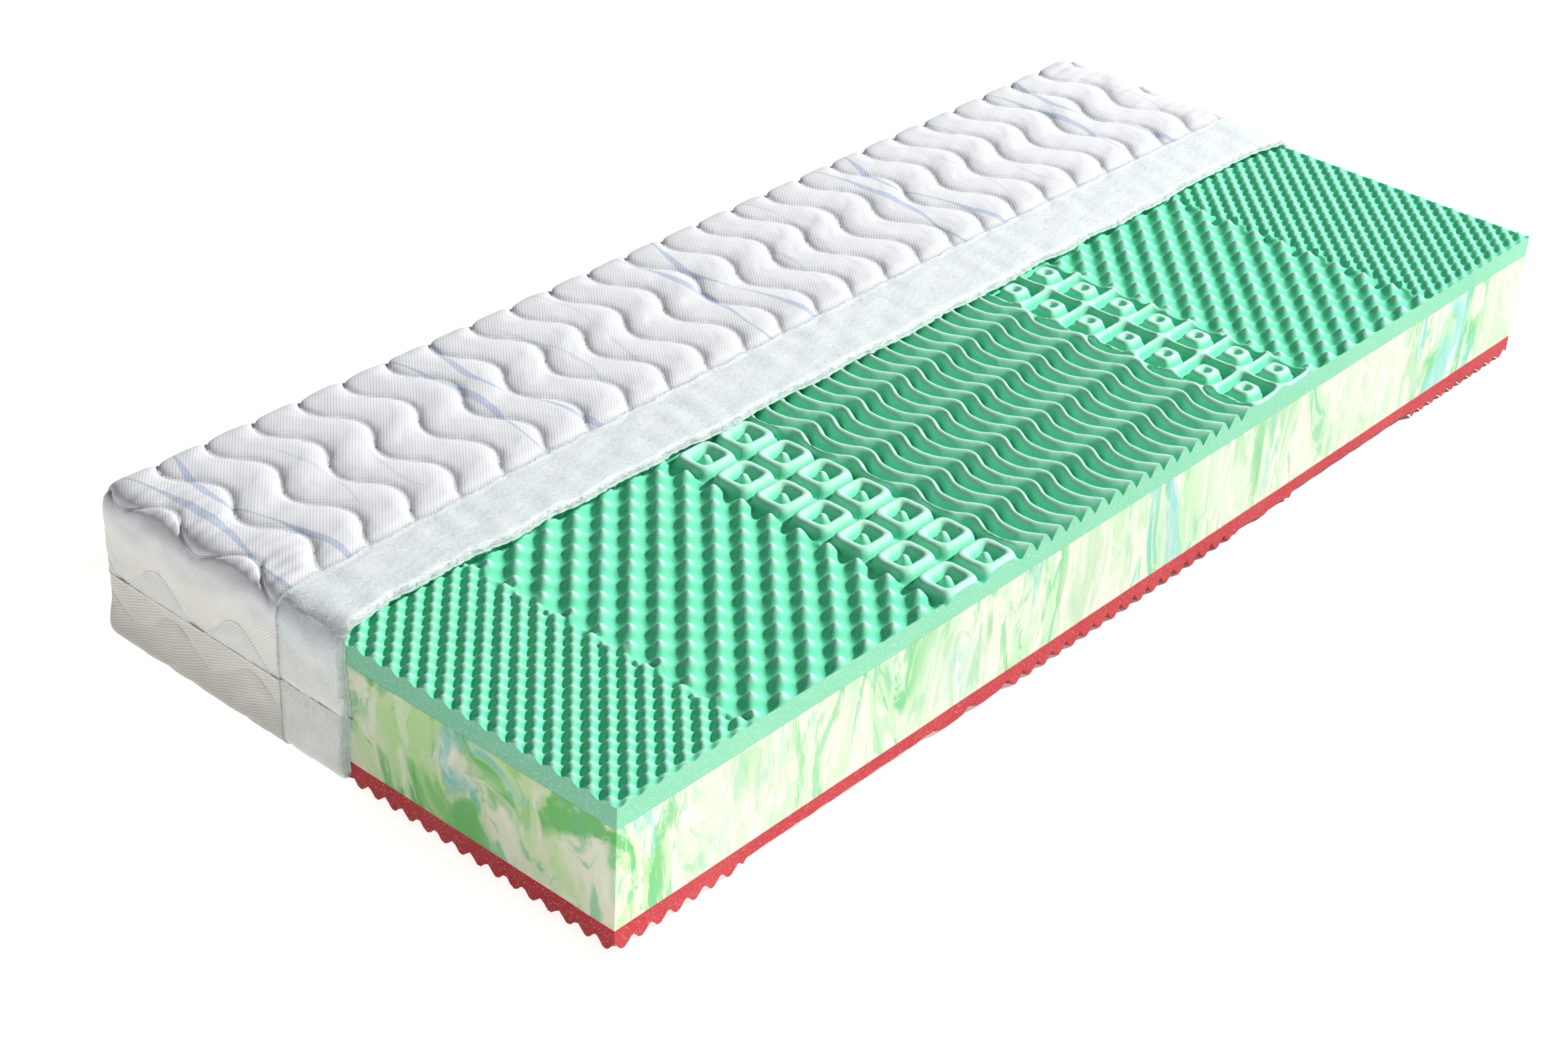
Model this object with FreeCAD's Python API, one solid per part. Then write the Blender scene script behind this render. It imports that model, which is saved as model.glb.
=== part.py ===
"""Zoned foam mattress with a quilted zip cover, drawn with the front half of the cover cut away.

The core is three glued foam layers. The cover is a sleeve over the rear half: outer fabric,
wadding and a backing fleece, in an upper and a lower half that meet in a seam at mid height.
A zip closes that seam along the back.

Frame: +X along the length, +Y towards the covered back, +Z up. The origin is at the middle of
the whole part's box, on the surface that it lies on. All sizes are in millimetres.
"""

import FreeCAD
import Part
import os

Vector = FreeCAD.Vector

# ---- overall size, with the cover all round
LENGTH = 2000.0
WIDTH = 900.0
WALL = 12.0  # the cover's thickness on its sides and ends

# ---- foam core
CORE_LENGTH = LENGTH - 2 * WALL
CORE_WIDTH = WIDTH - 2 * WALL
CORE_Y = -WALL / 2  # the core's middle: only the back wall of the cover counts in the box
GLUE_FILM = 0.4
BASE_THICKNESS = 33.0
SUPPORT_THICKNESS = 139.2
COMFORT_SLAB = 22.0
MAX_RELIEF = 17.0

# Zones along the length, from the near end: length, ridges, relief above, relief below.
ZONES = (
    (222.0, 8, 12.0, 12.5),
    (336.0, 7, 16.0, 13.0),
    (146.0, 2, 16.5, 13.0),
    (521.0, 17, MAX_RELIEF, 16.0),
    (148.0, 2, 16.5, 13.0),
    (321.0, 6, 16.0, 13.0),
    (282.0, 10, 12.0, 12.5),
)

# ---- cover: layer thicknesses from outside to inside
FABRIC = 1.4
FABRIC_BELOW = 1.2
FLEECE = 0.6
WADDING_ABOVE = 6.6
WADDING_BELOW = 4.0
CORE_GAP = 0.4  # clearance between the core and the cover's inside
PLAN_RADIUS = 24.0
TOP_EDGE_RADIUS = 18.0
BOTTOM_EDGE_RADIUS = 10.0

# Front edges of the cut-away layers, from the core's middle.
FABRIC_CUT = 112.0
WADDING_CUT = 6.0
FLEECE_CUT = -6.0
STEP_CUT = -10.0  # behind this the base layer is pressed into the cover's lower panel

# ---- mid-height seam
SEAM_Z = 99.0
SEAM_HEIGHT = 2.0
SPLIT = 0.4  # gap between the upper and lower wadding, and between the fleeces

# ---- zip, recessed in the back wall
ZIP_HALF_LENGTH = 945.0
ZIP_MOUTH = 14.0  # height of the opening between the folded fabric edges
ZIP_CHANNEL_HEIGHT = 30.0
FOLD = 1.2
TAPE_THICKNESS = 0.7
TAPE_WIDTH = 12.7
COIL_DEPTH = 2.0
COIL_WIDTH = 2.6
COIL_GAP = 2.0
STOP_LENGTH = 5.0
STOP_WIDTH = 8.0
CHANNEL_DEPTH = 8.6  # from the outer face to the channel's floor
TAPE_DEPTH = 6.0  # from the outer face to the tape's outer face

# ---- slider and puller
SLIDER_LENGTH = 12.0
SLIDER_HEIGHT = 12.0
SLIDER_PLATE = 1.0
SLIDER_RIM = 1.0
SLIDER_CLEAR = 0.3
POST_LENGTH = 3.0
POST_WIDTH = 1.2
BRIDGE_LENGTH = 7.0
BRIDGE_WIDTH = 2.0
BRIDGE_BAND = 0.8
BRIDGE_OPENING = 1.4
PULLER_THICKNESS = 1.0
PULLER_CLEAR = 0.3
ARM_WIDTH = 0.9
ARM_LENGTH = 5.0
TAB_LENGTH = 20.0
TAB_WIDTH = 8.0
TAB_HOLE_LENGTH = 9.0
TAB_HOLE_WIDTH = 3.6
SLIDER_PARK = 14.0  # from the near end of the zip to the slider's middle when closed

# ---- levels and planes worked out from the sizes above
BASE_TOP = BASE_THICKNESS
SUPPORT_BOTTOM = BASE_TOP + GLUE_FILM
SUPPORT_TOP = SUPPORT_BOTTOM + SUPPORT_THICKNESS
COMFORT_BOTTOM = SUPPORT_TOP + GLUE_FILM
COMFORT_VALLEY = COMFORT_BOTTOM + COMFORT_SLAB
COMFORT_TOP = COMFORT_VALLEY + MAX_RELIEF

CORE_X = CORE_LENGTH / 2
CORE_FRONT = CORE_Y - CORE_WIDTH / 2
CORE_BACK = CORE_Y + CORE_WIDTH / 2

LINING_TOP = COMFORT_TOP + CORE_GAP
FLEECE_TOP = LINING_TOP + FLEECE
FABRIC_UNDER_TOP = FLEECE_TOP + WADDING_ABOVE
COVER_TOP = FABRIC_UNDER_TOP + FABRIC
FLEECE_BOTTOM = FABRIC_BELOW + WADDING_BELOW
LINING_BOTTOM = FLEECE_BOTTOM + FLEECE
CORE_RAISED = LINING_BOTTOM + CORE_GAP

COVER_X = LENGTH / 2
COVER_BACK = CORE_BACK + WALL
ZIP_FACE = COVER_BACK - TAPE_DEPTH


def block(x, y, z):
    """A box from three (low, high) pairs."""
    size = [high - low for low, high in (x, y, z)]
    return Part.makeBox(*size, Vector(x[0], y[0], z[0]))


def on_plane(edge, axis, value):
    """Whether an edge lies in the plane where this coordinate has this value."""
    return all(abs(getattr(v.Point, axis) - value) < 1e-6 for v in edge.Vertexes)


def sleeve_body(inset, front, bottom, top, plan_radius, top_radius, bottom_radius):
    """A box that is rounded at its back corners and at its top and bottom edges.

    It is square at the front, where the sleeve is cut. Inset is counted from the cover's face.
    """
    half = COVER_X - inset
    back = COVER_BACK - inset
    body = block((-half, half), (front, back), (bottom, top))
    if plan_radius:
        upright = [
            edge
            for edge in body.Edges
            if on_plane(edge, "y", back) and not on_plane(edge, "z", top)
            and not on_plane(edge, "z", bottom)
        ]
        body = body.makeFillet(plan_radius, upright)
    for level, radius in ((top, top_radius), (bottom, bottom_radius)):
        if radius:
            rim = [
                edge
                for edge in body.Edges
                if on_plane(edge, "z", level) and not on_plane(edge, "y", front)
            ]
            body = body.makeFillet(radius, rim)
    return body


def above(level):
    """The space over a level, large enough to hold any part of the mattress."""
    return block((-LENGTH, LENGTH), (-WIDTH, WIDTH), (level, COVER_TOP + LENGTH))


def below(level):
    """The space under a level."""
    return block((-LENGTH, LENGTH), (-WIDTH, WIDTH), (-LENGTH, level))


def fabric_face(front):
    """The solid bounded by the outer fabric's inner face."""
    return sleeve_body(
        FABRIC,
        front,
        FABRIC_BELOW,
        FABRIC_UNDER_TOP,
        PLAN_RADIUS - FABRIC,
        TOP_EDGE_RADIUS - FABRIC,
        BOTTOM_EDGE_RADIUS - FABRIC,
    )


def fabric_shell():
    """The outer fabric all round the sleeve, before it is split at the seam."""
    front = CORE_Y + FABRIC_CUT
    outer = sleeve_body(
        0, front, 0, COVER_TOP, PLAN_RADIUS, TOP_EDGE_RADIUS, BOTTOM_EDGE_RADIUS
    )
    return outer.cut(fabric_face(front))


def wadding_shell():
    """The wadding all round, with a channel in its back for the zip."""
    front = CORE_Y + WADDING_CUT
    inner_inset = WALL - CORE_GAP - FLEECE
    hollow = sleeve_body(inner_inset, front - WALL, FLEECE_BOTTOM, FLEECE_TOP, 0, 0, 0)
    half_channel = ZIP_CHANNEL_HEIGHT / 2
    channel = block(
        (-ZIP_HALF_LENGTH, ZIP_HALF_LENGTH),
        (COVER_BACK - CHANNEL_DEPTH, COVER_BACK),
        (SEAM_Z - half_channel, SEAM_Z + half_channel),
    )
    return fabric_face(front).cut(hollow).cut(channel)


def fleece_shell():
    """The backing fleece all round, a thin layer against the core."""
    front = CORE_Y + FLEECE_CUT
    outer_inset = WALL - CORE_GAP - FLEECE
    outer = sleeve_body(outer_inset, front, FLEECE_BOTTOM, FLEECE_TOP, 0, 0, 0)
    hollow = sleeve_body(WALL - CORE_GAP, front - WALL, LINING_BOTTOM, LINING_TOP, 0, 0, 0)
    return outer.cut(hollow)


def ridged_slab(flat, levels):
    """A slab with straight ridges across its width, zone by zone along its length.

    Flat is the height of its plain face. Levels holds each zone's heights of valley and crest.
    """
    x = -CORE_X
    points = [Vector(x, CORE_FRONT, flat)]
    for (length, ridges, _, _), (valley, crest) in zip(ZONES, levels):
        pitch = length / ridges
        points.append(Vector(x, CORE_FRONT, valley))
        for ridge in range(ridges):
            points.append(Vector(x + pitch * (ridge + 0.5), CORE_FRONT, crest))
            if ridge < ridges - 1:
                points.append(Vector(x + pitch * (ridge + 1), CORE_FRONT, valley))
        x += length
        points.append(Vector(x, CORE_FRONT, valley))
    points.append(Vector(x, CORE_FRONT, flat))
    points.append(points[0])
    outline = [p for p, q in zip(points, points[1:]) if p != q] + [points[0]]
    face = Part.Face(Part.makePolygon(outline))
    return face.extrude(Vector(0, CORE_WIDTH, 0))


def comfort_layer():
    """Soft top layer: a slab with its relief on top."""
    levels = [(COMFORT_VALLEY, COMFORT_VALLEY + zone[2]) for zone in ZONES]
    return ridged_slab(COMFORT_BOTTOM, levels)


def base_layer():
    """Firm bottom layer: relief below, pressed flat where it lies on the cover's panel."""
    slab = ridged_slab(BASE_TOP, [(zone[3], 0.0) for zone in ZONES])
    pressed = block(
        (-CORE_X - 1, CORE_X + 1),
        (CORE_Y + STEP_CUT, CORE_BACK + 1),
        (-1, CORE_RAISED),
    )
    return slab.cut(pressed)


def core_slab(bottom, top):
    """A plain layer of the core between two levels."""
    return block((-CORE_X, CORE_X), (CORE_FRONT, CORE_BACK), (bottom, top))


def folded_edge(side):
    """The cover's edge turned in beside the zip: side +1 is the upper edge, -1 the lower."""
    near, far = sorted((SEAM_Z + side * ZIP_MOUTH / 2, SEAM_Z + side * (ZIP_MOUTH / 2 + FOLD)))
    return block(
        (-ZIP_HALF_LENGTH, ZIP_HALF_LENGTH), (ZIP_FACE, COVER_BACK - FABRIC / 2), (near, far)
    )


def zip_mouth():
    """The opening in the outer fabric along the zip."""
    half = ZIP_MOUTH / 2
    return block(
        (-ZIP_HALF_LENGTH, ZIP_HALF_LENGTH),
        (ZIP_FACE, COVER_BACK + 1),
        (SEAM_Z - half, SEAM_Z + half),
    )


def cover_fabric(side, shell):
    """One half of the outer fabric with its folded edge along the zip."""
    space = above(SEAM_Z + SEAM_HEIGHT / 2) if side > 0 else below(SEAM_Z - SEAM_HEIGHT / 2)
    return shell.common(space).cut(zip_mouth()).fuse(folded_edge(side)).removeSplitter()


def end_seam(side, shell):
    """The sewn seam from the cut edge, round the corner, to the zip's end."""
    half = SEAM_HEIGHT / 2
    x = sorted((side * ZIP_HALF_LENGTH, side * (COVER_X + 1)))
    strip = block(x, (-WIDTH, WIDTH), (SEAM_Z - half, SEAM_Z + half))
    return shell.common(strip)


def split_half(side, shell):
    """The upper or lower half of a soft layer."""
    return shell.common(above(SEAM_Z + SPLIT / 2) if side > 0 else below(SEAM_Z - SPLIT / 2))


def zip_strip(side, start, width, low, high, half_length):
    """A straight strip along the zip, from start to start + width away from the seam line."""
    z = sorted((SEAM_Z + side * start, SEAM_Z + side * (start + width)))
    return block((-half_length, half_length), (low, high), z)


def zip_tape(side):
    """Woven tape that carries one coil."""
    start = COIL_GAP / 2 + SLIDER_CLEAR
    return zip_strip(side, start, TAPE_WIDTH, ZIP_FACE - TAPE_THICKNESS, ZIP_FACE, ZIP_HALF_LENGTH)


def zip_coil(side):
    """The envelope of one row of coil teeth, on the face of its tape."""
    half_length = ZIP_HALF_LENGTH - STOP_LENGTH
    return zip_strip(
        side, COIL_GAP / 2, COIL_WIDTH, ZIP_FACE, ZIP_FACE + COIL_DEPTH, half_length
    )


def zip_stop(side):
    """Crimped stop across both coils at one end of the zip."""
    x = sorted((side * ZIP_HALF_LENGTH, side * (ZIP_HALF_LENGTH - STOP_LENGTH)))
    half = STOP_WIDTH / 2
    return block(x, (ZIP_FACE, ZIP_FACE + COIL_DEPTH), (SEAM_Z - half, SEAM_Z + half))


SLIDER_X = -ZIP_HALF_LENGTH + SLIDER_PARK
PLATE_FACE = ZIP_FACE + COIL_DEPTH + SLIDER_CLEAR + SLIDER_PLATE
PIVOT_Y = PLATE_FACE + BRIDGE_OPENING / 2


def zip_slider():
    """Slider round both coils, slit for the tapes, with a bridge that holds the puller."""
    half_length = SLIDER_LENGTH / 2
    half_height = SLIDER_HEIGHT / 2
    x = (SLIDER_X - half_length, SLIDER_X + half_length)
    z = (SEAM_Z - half_height, SEAM_Z + half_height)
    tape_back = ZIP_FACE - TAPE_THICKNESS
    back_face = tape_back - SLIDER_CLEAR - SLIDER_PLATE
    body = block(x, (back_face, PLATE_FACE), z)
    inner_half = half_height - SLIDER_RIM
    body = body.cut(
        block(
            (x[0] - 1, x[1] + 1),
            (tape_back - SLIDER_CLEAR, ZIP_FACE + COIL_DEPTH + SLIDER_CLEAR),
            (SEAM_Z - inner_half, SEAM_Z + inner_half),
        )
    )
    body = body.cut(
        block(
            (x[0] - 1, x[1] + 1),
            (tape_back - SLIDER_CLEAR, ZIP_FACE + SLIDER_CLEAR),
            (z[0] - 1, z[1] + 1),
        )
    )
    post = block(
        (x[1] - POST_LENGTH, x[1]),
        (back_face, PLATE_FACE),
        (SEAM_Z - POST_WIDTH / 2, SEAM_Z + POST_WIDTH / 2),
    )
    bridge = block(
        (SLIDER_X - BRIDGE_LENGTH / 2, SLIDER_X + BRIDGE_LENGTH / 2),
        (PLATE_FACE, PLATE_FACE + BRIDGE_OPENING + BRIDGE_BAND),
        (SEAM_Z - BRIDGE_WIDTH / 2, SEAM_Z + BRIDGE_WIDTH / 2),
    )
    leg = BRIDGE_BAND
    eye = block(
        (SLIDER_X - BRIDGE_LENGTH / 2 + leg, SLIDER_X + BRIDGE_LENGTH / 2 - leg),
        (PLATE_FACE, PLATE_FACE + BRIDGE_OPENING),
        (SEAM_Z - BRIDGE_WIDTH, SEAM_Z + BRIDGE_WIDTH),
    )
    return body.fuse([post, bridge.cut(eye)]).removeSplitter()


def zip_puller():
    """Puller: a cross bar under the bridge, two arms beside it and a flat tab."""
    inner = BRIDGE_WIDTH / 2 + PULLER_CLEAR
    outer = inner + ARM_WIDTH
    thin = (PIVOT_Y - PULLER_THICKNESS / 2, PIVOT_Y + PULLER_THICKNESS / 2)
    radius = PULLER_THICKNESS / 2
    bar = Part.makeCylinder(
        radius, 2 * outer, Vector(SLIDER_X, PIVOT_Y, SEAM_Z - outer), Vector(0, 0, 1)
    )
    arms = [
        block((SLIDER_X, SLIDER_X + ARM_LENGTH), thin, sorted((SEAM_Z + s * inner, SEAM_Z + s * outer)))
        for s in (-1, 1)
    ]
    start = SLIDER_X + ARM_LENGTH
    tab = block((start, start + TAB_LENGTH), thin, (SEAM_Z - TAB_WIDTH / 2, SEAM_Z + TAB_WIDTH / 2))
    corners = [
        edge
        for edge in tab.Edges
        if abs(edge.tangentAt(edge.FirstParameter).y) > 0.99 and on_plane(edge, "x", start + TAB_LENGTH)
    ]
    tab = tab.makeFillet(TAB_WIDTH / 4, corners)
    middle = start + TAB_LENGTH * 0.6
    hole = block(
        (middle - TAB_HOLE_LENGTH / 2, middle + TAB_HOLE_LENGTH / 2),
        (thin[0] - 1, thin[1] + 1),
        (SEAM_Z - TAB_HOLE_WIDTH / 2, SEAM_Z + TAB_HOLE_WIDTH / 2),
    )
    return bar.fuse(arms + [tab.cut(hole)]).removeSplitter()


def build():
    """Every sub-part by node name."""
    fabric = fabric_shell()
    wadding = wadding_shell()
    fleece = fleece_shell()
    parts = {
        "comfort_layer": comfort_layer(),
        "comfort_glue_film": core_slab(SUPPORT_TOP, COMFORT_BOTTOM),
        "support_core": core_slab(SUPPORT_BOTTOM, SUPPORT_TOP),
        "base_glue_film": core_slab(BASE_TOP, SUPPORT_BOTTOM),
        "base_layer": base_layer(),
        "zip_slider": zip_slider(),
        "zip_puller": zip_puller(),
    }
    for side, half in ((1, "upper"), (-1, "lower")):
        parts[f"{half}_cover_fabric"] = cover_fabric(side, fabric)
        parts[f"{half}_wadding"] = split_half(side, wadding)
        parts[f"{half}_backing_fleece"] = split_half(side, fleece)
        parts[f"zip_tape_{half}"] = zip_tape(side)
        parts[f"zip_coil_{half}"] = zip_coil(side)
    for side, end in ((-1, "near"), (1, "far")):
        parts[f"end_seam_{end}"] = end_seam(side, fabric)
        parts[f"zip_stop_{end}"] = zip_stop(side)
    return parts


if __name__ == "__main__":
    os.makedirs("parts", exist_ok=True)
    for name, shape in build().items():
        if not shape.isValid() or len(shape.Solids) != 1:
            raise ValueError(f"{name} isn't one valid solid")
        shape.exportStep(f"parts/{name}.step")
        box = shape.BoundBox
        print(
            f"{name}: x {box.XMin:.1f} {box.XMax:.1f}  y {box.YMin:.1f} {box.YMax:.1f}"
            f"  z {box.ZMin:.1f} {box.ZMax:.1f}  {shape.Volume / 1000:.1f} cm3"
        )
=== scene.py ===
"""Looks of a zoned foam mattress with a quilted zip cover, cut away over its front half."""

import math

import bpy
import numpy as np
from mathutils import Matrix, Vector


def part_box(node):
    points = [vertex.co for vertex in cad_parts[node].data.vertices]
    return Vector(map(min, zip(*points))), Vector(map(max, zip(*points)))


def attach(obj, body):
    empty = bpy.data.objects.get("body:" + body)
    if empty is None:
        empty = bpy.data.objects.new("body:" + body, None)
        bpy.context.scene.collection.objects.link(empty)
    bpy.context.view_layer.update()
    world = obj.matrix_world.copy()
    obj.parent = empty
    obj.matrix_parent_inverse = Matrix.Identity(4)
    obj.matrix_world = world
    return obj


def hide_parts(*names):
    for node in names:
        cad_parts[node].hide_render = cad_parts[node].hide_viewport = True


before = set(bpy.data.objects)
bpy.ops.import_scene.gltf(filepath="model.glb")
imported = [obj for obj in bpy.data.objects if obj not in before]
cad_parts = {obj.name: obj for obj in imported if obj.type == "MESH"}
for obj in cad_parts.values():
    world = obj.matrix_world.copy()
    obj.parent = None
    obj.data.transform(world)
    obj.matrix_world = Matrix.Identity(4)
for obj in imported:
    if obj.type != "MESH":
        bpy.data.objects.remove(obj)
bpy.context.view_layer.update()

TAU = 2 * math.pi
MM = 0.001

# ------------------------------------------------------------------ places, from the frame
CORE_LOW, CORE_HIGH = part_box("support_core")
COMFORT_LOW, COMFORT_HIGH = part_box("comfort_layer")
BASE_LOW, BASE_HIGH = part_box("base_layer")
FABRIC_LOW, FABRIC_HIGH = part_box("upper_cover_fabric")
LOWER_FABRIC_LOW, LOWER_FABRIC_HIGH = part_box("lower_cover_fabric")
WADDING_LOW, WADDING_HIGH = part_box("upper_wadding")
LOWER_WADDING_LOW, LOWER_WADDING_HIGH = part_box("lower_wadding")
FLEECE_LOW, FLEECE_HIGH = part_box("upper_backing_fleece")
LOWER_FLEECE_LOW, LOWER_FLEECE_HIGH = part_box("lower_backing_fleece")
CORE_MIDDLE = (CORE_LOW + CORE_HIGH) / 2
CORE_Y = CORE_MIDDLE.y
SEAM_Z = (FABRIC_LOW.z + LOWER_FABRIC_HIGH.z) / 2

# ------------------------------------------------------------------ camera, lights and floor
CAMERA_FROM_CORE = Vector((-2.6926, -2.0640, 2.0499))
CAMERA_TURN_DEG = (57.800, -2.719, -48.521)
LENS_MM = 64.47
KEY_PLACE = Vector((8.4, -5.9, 8.2))
KEY_TARGET = Vector((0, 0, 0.1))
KEY_SIZE = 0.80
KEY_WATTS = 2800
SURROUND_STRENGTH = 0.145
FLOOR_REACH = 30
FLOOR_Z = -0.0005


def add_camera():
    """The camera, placed from the core's middle in plan and the floor."""
    data = bpy.data.cameras.new("camera")
    data.lens = LENS_MM
    data.sensor_width = 36
    data.clip_end = 100
    camera = bpy.data.objects.new("camera", data)
    camera.location = CAMERA_FROM_CORE + Vector((CORE_MIDDLE.x, CORE_Y, 0))
    camera.rotation_euler = [math.radians(a) for a in CAMERA_TURN_DEG]
    bpy.context.scene.collection.objects.link(camera)
    bpy.context.scene.camera = camera


def add_lights():
    """A key from the right, and a pale surround that fills the shadows."""
    data = bpy.data.lights.new("key", "AREA")
    data.size = KEY_SIZE
    data.energy = KEY_WATTS
    data.color = (1.0, 0.985, 0.96)
    light = bpy.data.objects.new("key", data)
    light.location = KEY_PLACE
    light.rotation_euler = (KEY_TARGET - KEY_PLACE).to_track_quat("-Z", "Y").to_euler()
    bpy.context.scene.collection.objects.link(light)
    world = bpy.data.worlds.new("surround")
    world.use_nodes = True
    background = world.node_tree.nodes["Background"]
    background.inputs["Color"].default_value = (0.96, 0.98, 1.0, 1)
    background.inputs["Strength"].default_value = SURROUND_STRENGTH
    bpy.context.scene.world = world
    bpy.context.scene.view_settings.view_transform = "Standard"


# ------------------------------------------------------------------ node helpers
class Nodes:
    """A small helper that builds one material's node tree."""

    def __init__(self, name, roughness=0.9):
        self.material = bpy.data.materials.new(name)
        self.material.use_nodes = True
        self.tree = self.material.node_tree
        self.shader = self.tree.nodes["Principled BSDF"]
        self.feed(self.shader, Roughness=roughness, Specular_IOR_Level=0.2)
        self.place = self.add("TexCoord").outputs["Object"]

    def feed(self, node, **inputs):
        """Links sockets to a node's inputs, or sets them to plain values."""
        for key, value in inputs.items():
            socket = node.inputs[int(key[1:]) if key[1:].isdigit() else key.replace("_", " ")]
            if isinstance(value, bpy.types.NodeSocket):
                self.tree.links.new(value, socket)
            elif socket.type == "RGBA" and len(value) == 3:
                socket.default_value = (*value, 1.0)
            else:
                socket.default_value = value

    def add(self, kind, settings=(), **inputs):
        node = self.tree.nodes.new("ShaderNode" + kind)
        for key, value in dict(settings).items():
            setattr(node, key, value)
        self.feed(node, **inputs)
        return node

    def mapping(self, scale, source=None, location=(0, 0, 0), turn=(0, 0, 0)):
        return self.add("Mapping", Vector=source or self.place, Scale=scale, Location=location,
                        Rotation=turn).outputs["Vector"]

    def noise(self, scale, detail=2.0, rough=0.5, source=None, distortion=0.0, colour=False):
        node = self.add("TexNoise", Vector=source or self.place, Scale=scale, Detail=detail,
                        Roughness=rough, Distortion=distortion)
        return node.outputs["Color" if colour else "Fac"]

    def specks(self, scale, share):
        """1 in a few small cells, 0 elsewhere."""
        cells = self.add("TexVoronoi", Vector=self.place, Scale=scale).outputs["Color"]
        return self.math("GREATER_THAN", cells, 1 - share)

    def math(self, operation, a, b=0.0, c=0.0, clamp=False):
        how = {"operation": operation, "use_clamp": clamp}
        return self.add("Math", how, _0=a, _1=b, _2=c).outputs[0]

    def mul(self, a, b):
        return self.math("MULTIPLY", a, b)

    def plus(self, a, b):
        return self.math("ADD", a, b)

    def minus(self, a, b):
        return self.math("SUBTRACT", a, b)

    def sine(self, a):
        return self.math("SINE", a)

    def span(self, value, low, high, out_low=0.0, out_high=1.0):
        """The value mapped smoothly from one span to another, held at both ends."""
        return self.add("MapRange", {"interpolation_type": "SMOOTHSTEP"}, Value=value, From_Min=low,
                        From_Max=high, To_Min=out_low, To_Max=out_high).outputs["Result"]

    def mix(self, factor, a, b):
        """A colour between a and b."""
        return self.add("Mix", {"data_type": "RGBA"}, Factor=factor, A=a, B=b).outputs["Result"]

    def tint(self, colour, where, share, other):
        """The colour moved by a share towards another one, where the mask is 1."""
        return self.mix(self.mul(where, share), colour, other)

    def attribute(self, name, output="Fac"):
        return self.add("Attribute", {"attribute_name": name}).outputs[output]

    def axes(self, vector=None):
        """The coordinates of a vector, or of the place on the object."""
        return self.add("SeparateXYZ", _0=vector or self.place).outputs

    def add_vectors(self, a, b, scale):
        """a + b * scale, for moving a texture's coordinates."""
        scaled = self.add("VectorMath", {"operation": "SCALE"}, _0=b, Scale=scale)
        return self.add("VectorMath", {"operation": "ADD"}, _0=a, _1=scaled.outputs[0]).outputs[0]

    def bump(self, height, distance, strength=1.0):
        node = self.add("Bump", Height=height, Distance=distance, Strength=strength)
        self.feed(self.shader, Normal=node.outputs["Normal"])

    def finish(self, colour, sheen=0.0, sheen_tint=(1, 1, 1), translucent=0.0, radius=(0, 0, 0)):
        self.feed(self.shader, Base_Color=colour, Sheen_Weight=sheen, Sheen_Roughness=0.5,
                  Sheen_Tint=sheen_tint)
        if translucent:
            self.feed(self.shader, Subsurface_Weight=translucent, Subsurface_Radius=radius,
                      Subsurface_Scale=1.0)
        return self.material


# ------------------------------------------------------------------ materials
def foam_colour(n, plain, speckle, lights, share):
    """Foam's colour: soft clouds, fine pores, and bright specks where cut cells catch the light."""
    base = n.tint(plain, n.span(n.noise(9, 3), 0.3, 0.7), 0.25, speckle)
    base = n.tint(base, n.span(n.noise(900, 2, 0.7), 0.35, 0.65), 0.25, speckle)
    return n.tint(base, n.specks(1150, share), 0.5, lights)


def green_foam():
    """Soft mint foam, with a painted highlight: paler towards the crests of its relief."""
    n = Nodes("green_foam", 0.85)
    # Painted highlight: a mask that rises towards the crests, where the foam is tinted pale.
    painted_crest_highlight = n.span(n.attribute("relief"), 0.30, 0.92)
    colour = foam_colour(n, (0.15, 0.70, 0.44), (0.22, 0.76, 0.51), (0.85, 1.0, 0.92), 0.04)
    n.bump(n.noise(700, 3, 0.7), 0.0006, 0.6)
    return n.finish(n.tint(colour, painted_crest_highlight, 0.85, (0.54, 0.92, 0.76)), 0.05, (0.8, 1.0, 0.9),
                    0.04, (0.002, 0.004, 0.003))


def firm_foam(name, plain, speckle, lights, share, sheen_tint):
    """Foam with sparkling pores: a sawn side, or the red layer."""
    n = Nodes(name, 0.85)
    n.bump(n.noise(700, 3, 0.7), 0.0006, 0.7)
    return n.finish(foam_colour(n, plain, speckle, lights, share), 0.05, sheen_tint)


def green_foam_cut():
    return firm_foam("green_foam_cut", (0.19, 0.52, 0.34), (0.28, 0.60, 0.42), (0.80, 0.95, 0.86),
                     0.16, (0.8, 1.0, 0.9))


def red_foam(name="red_foam", share=0.09):
    return firm_foam(name, (0.40, 0.022, 0.036), (0.54, 0.095, 0.090), (0.95, 0.62, 0.52), share,
                     (1.0, 0.7, 0.7))


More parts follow.
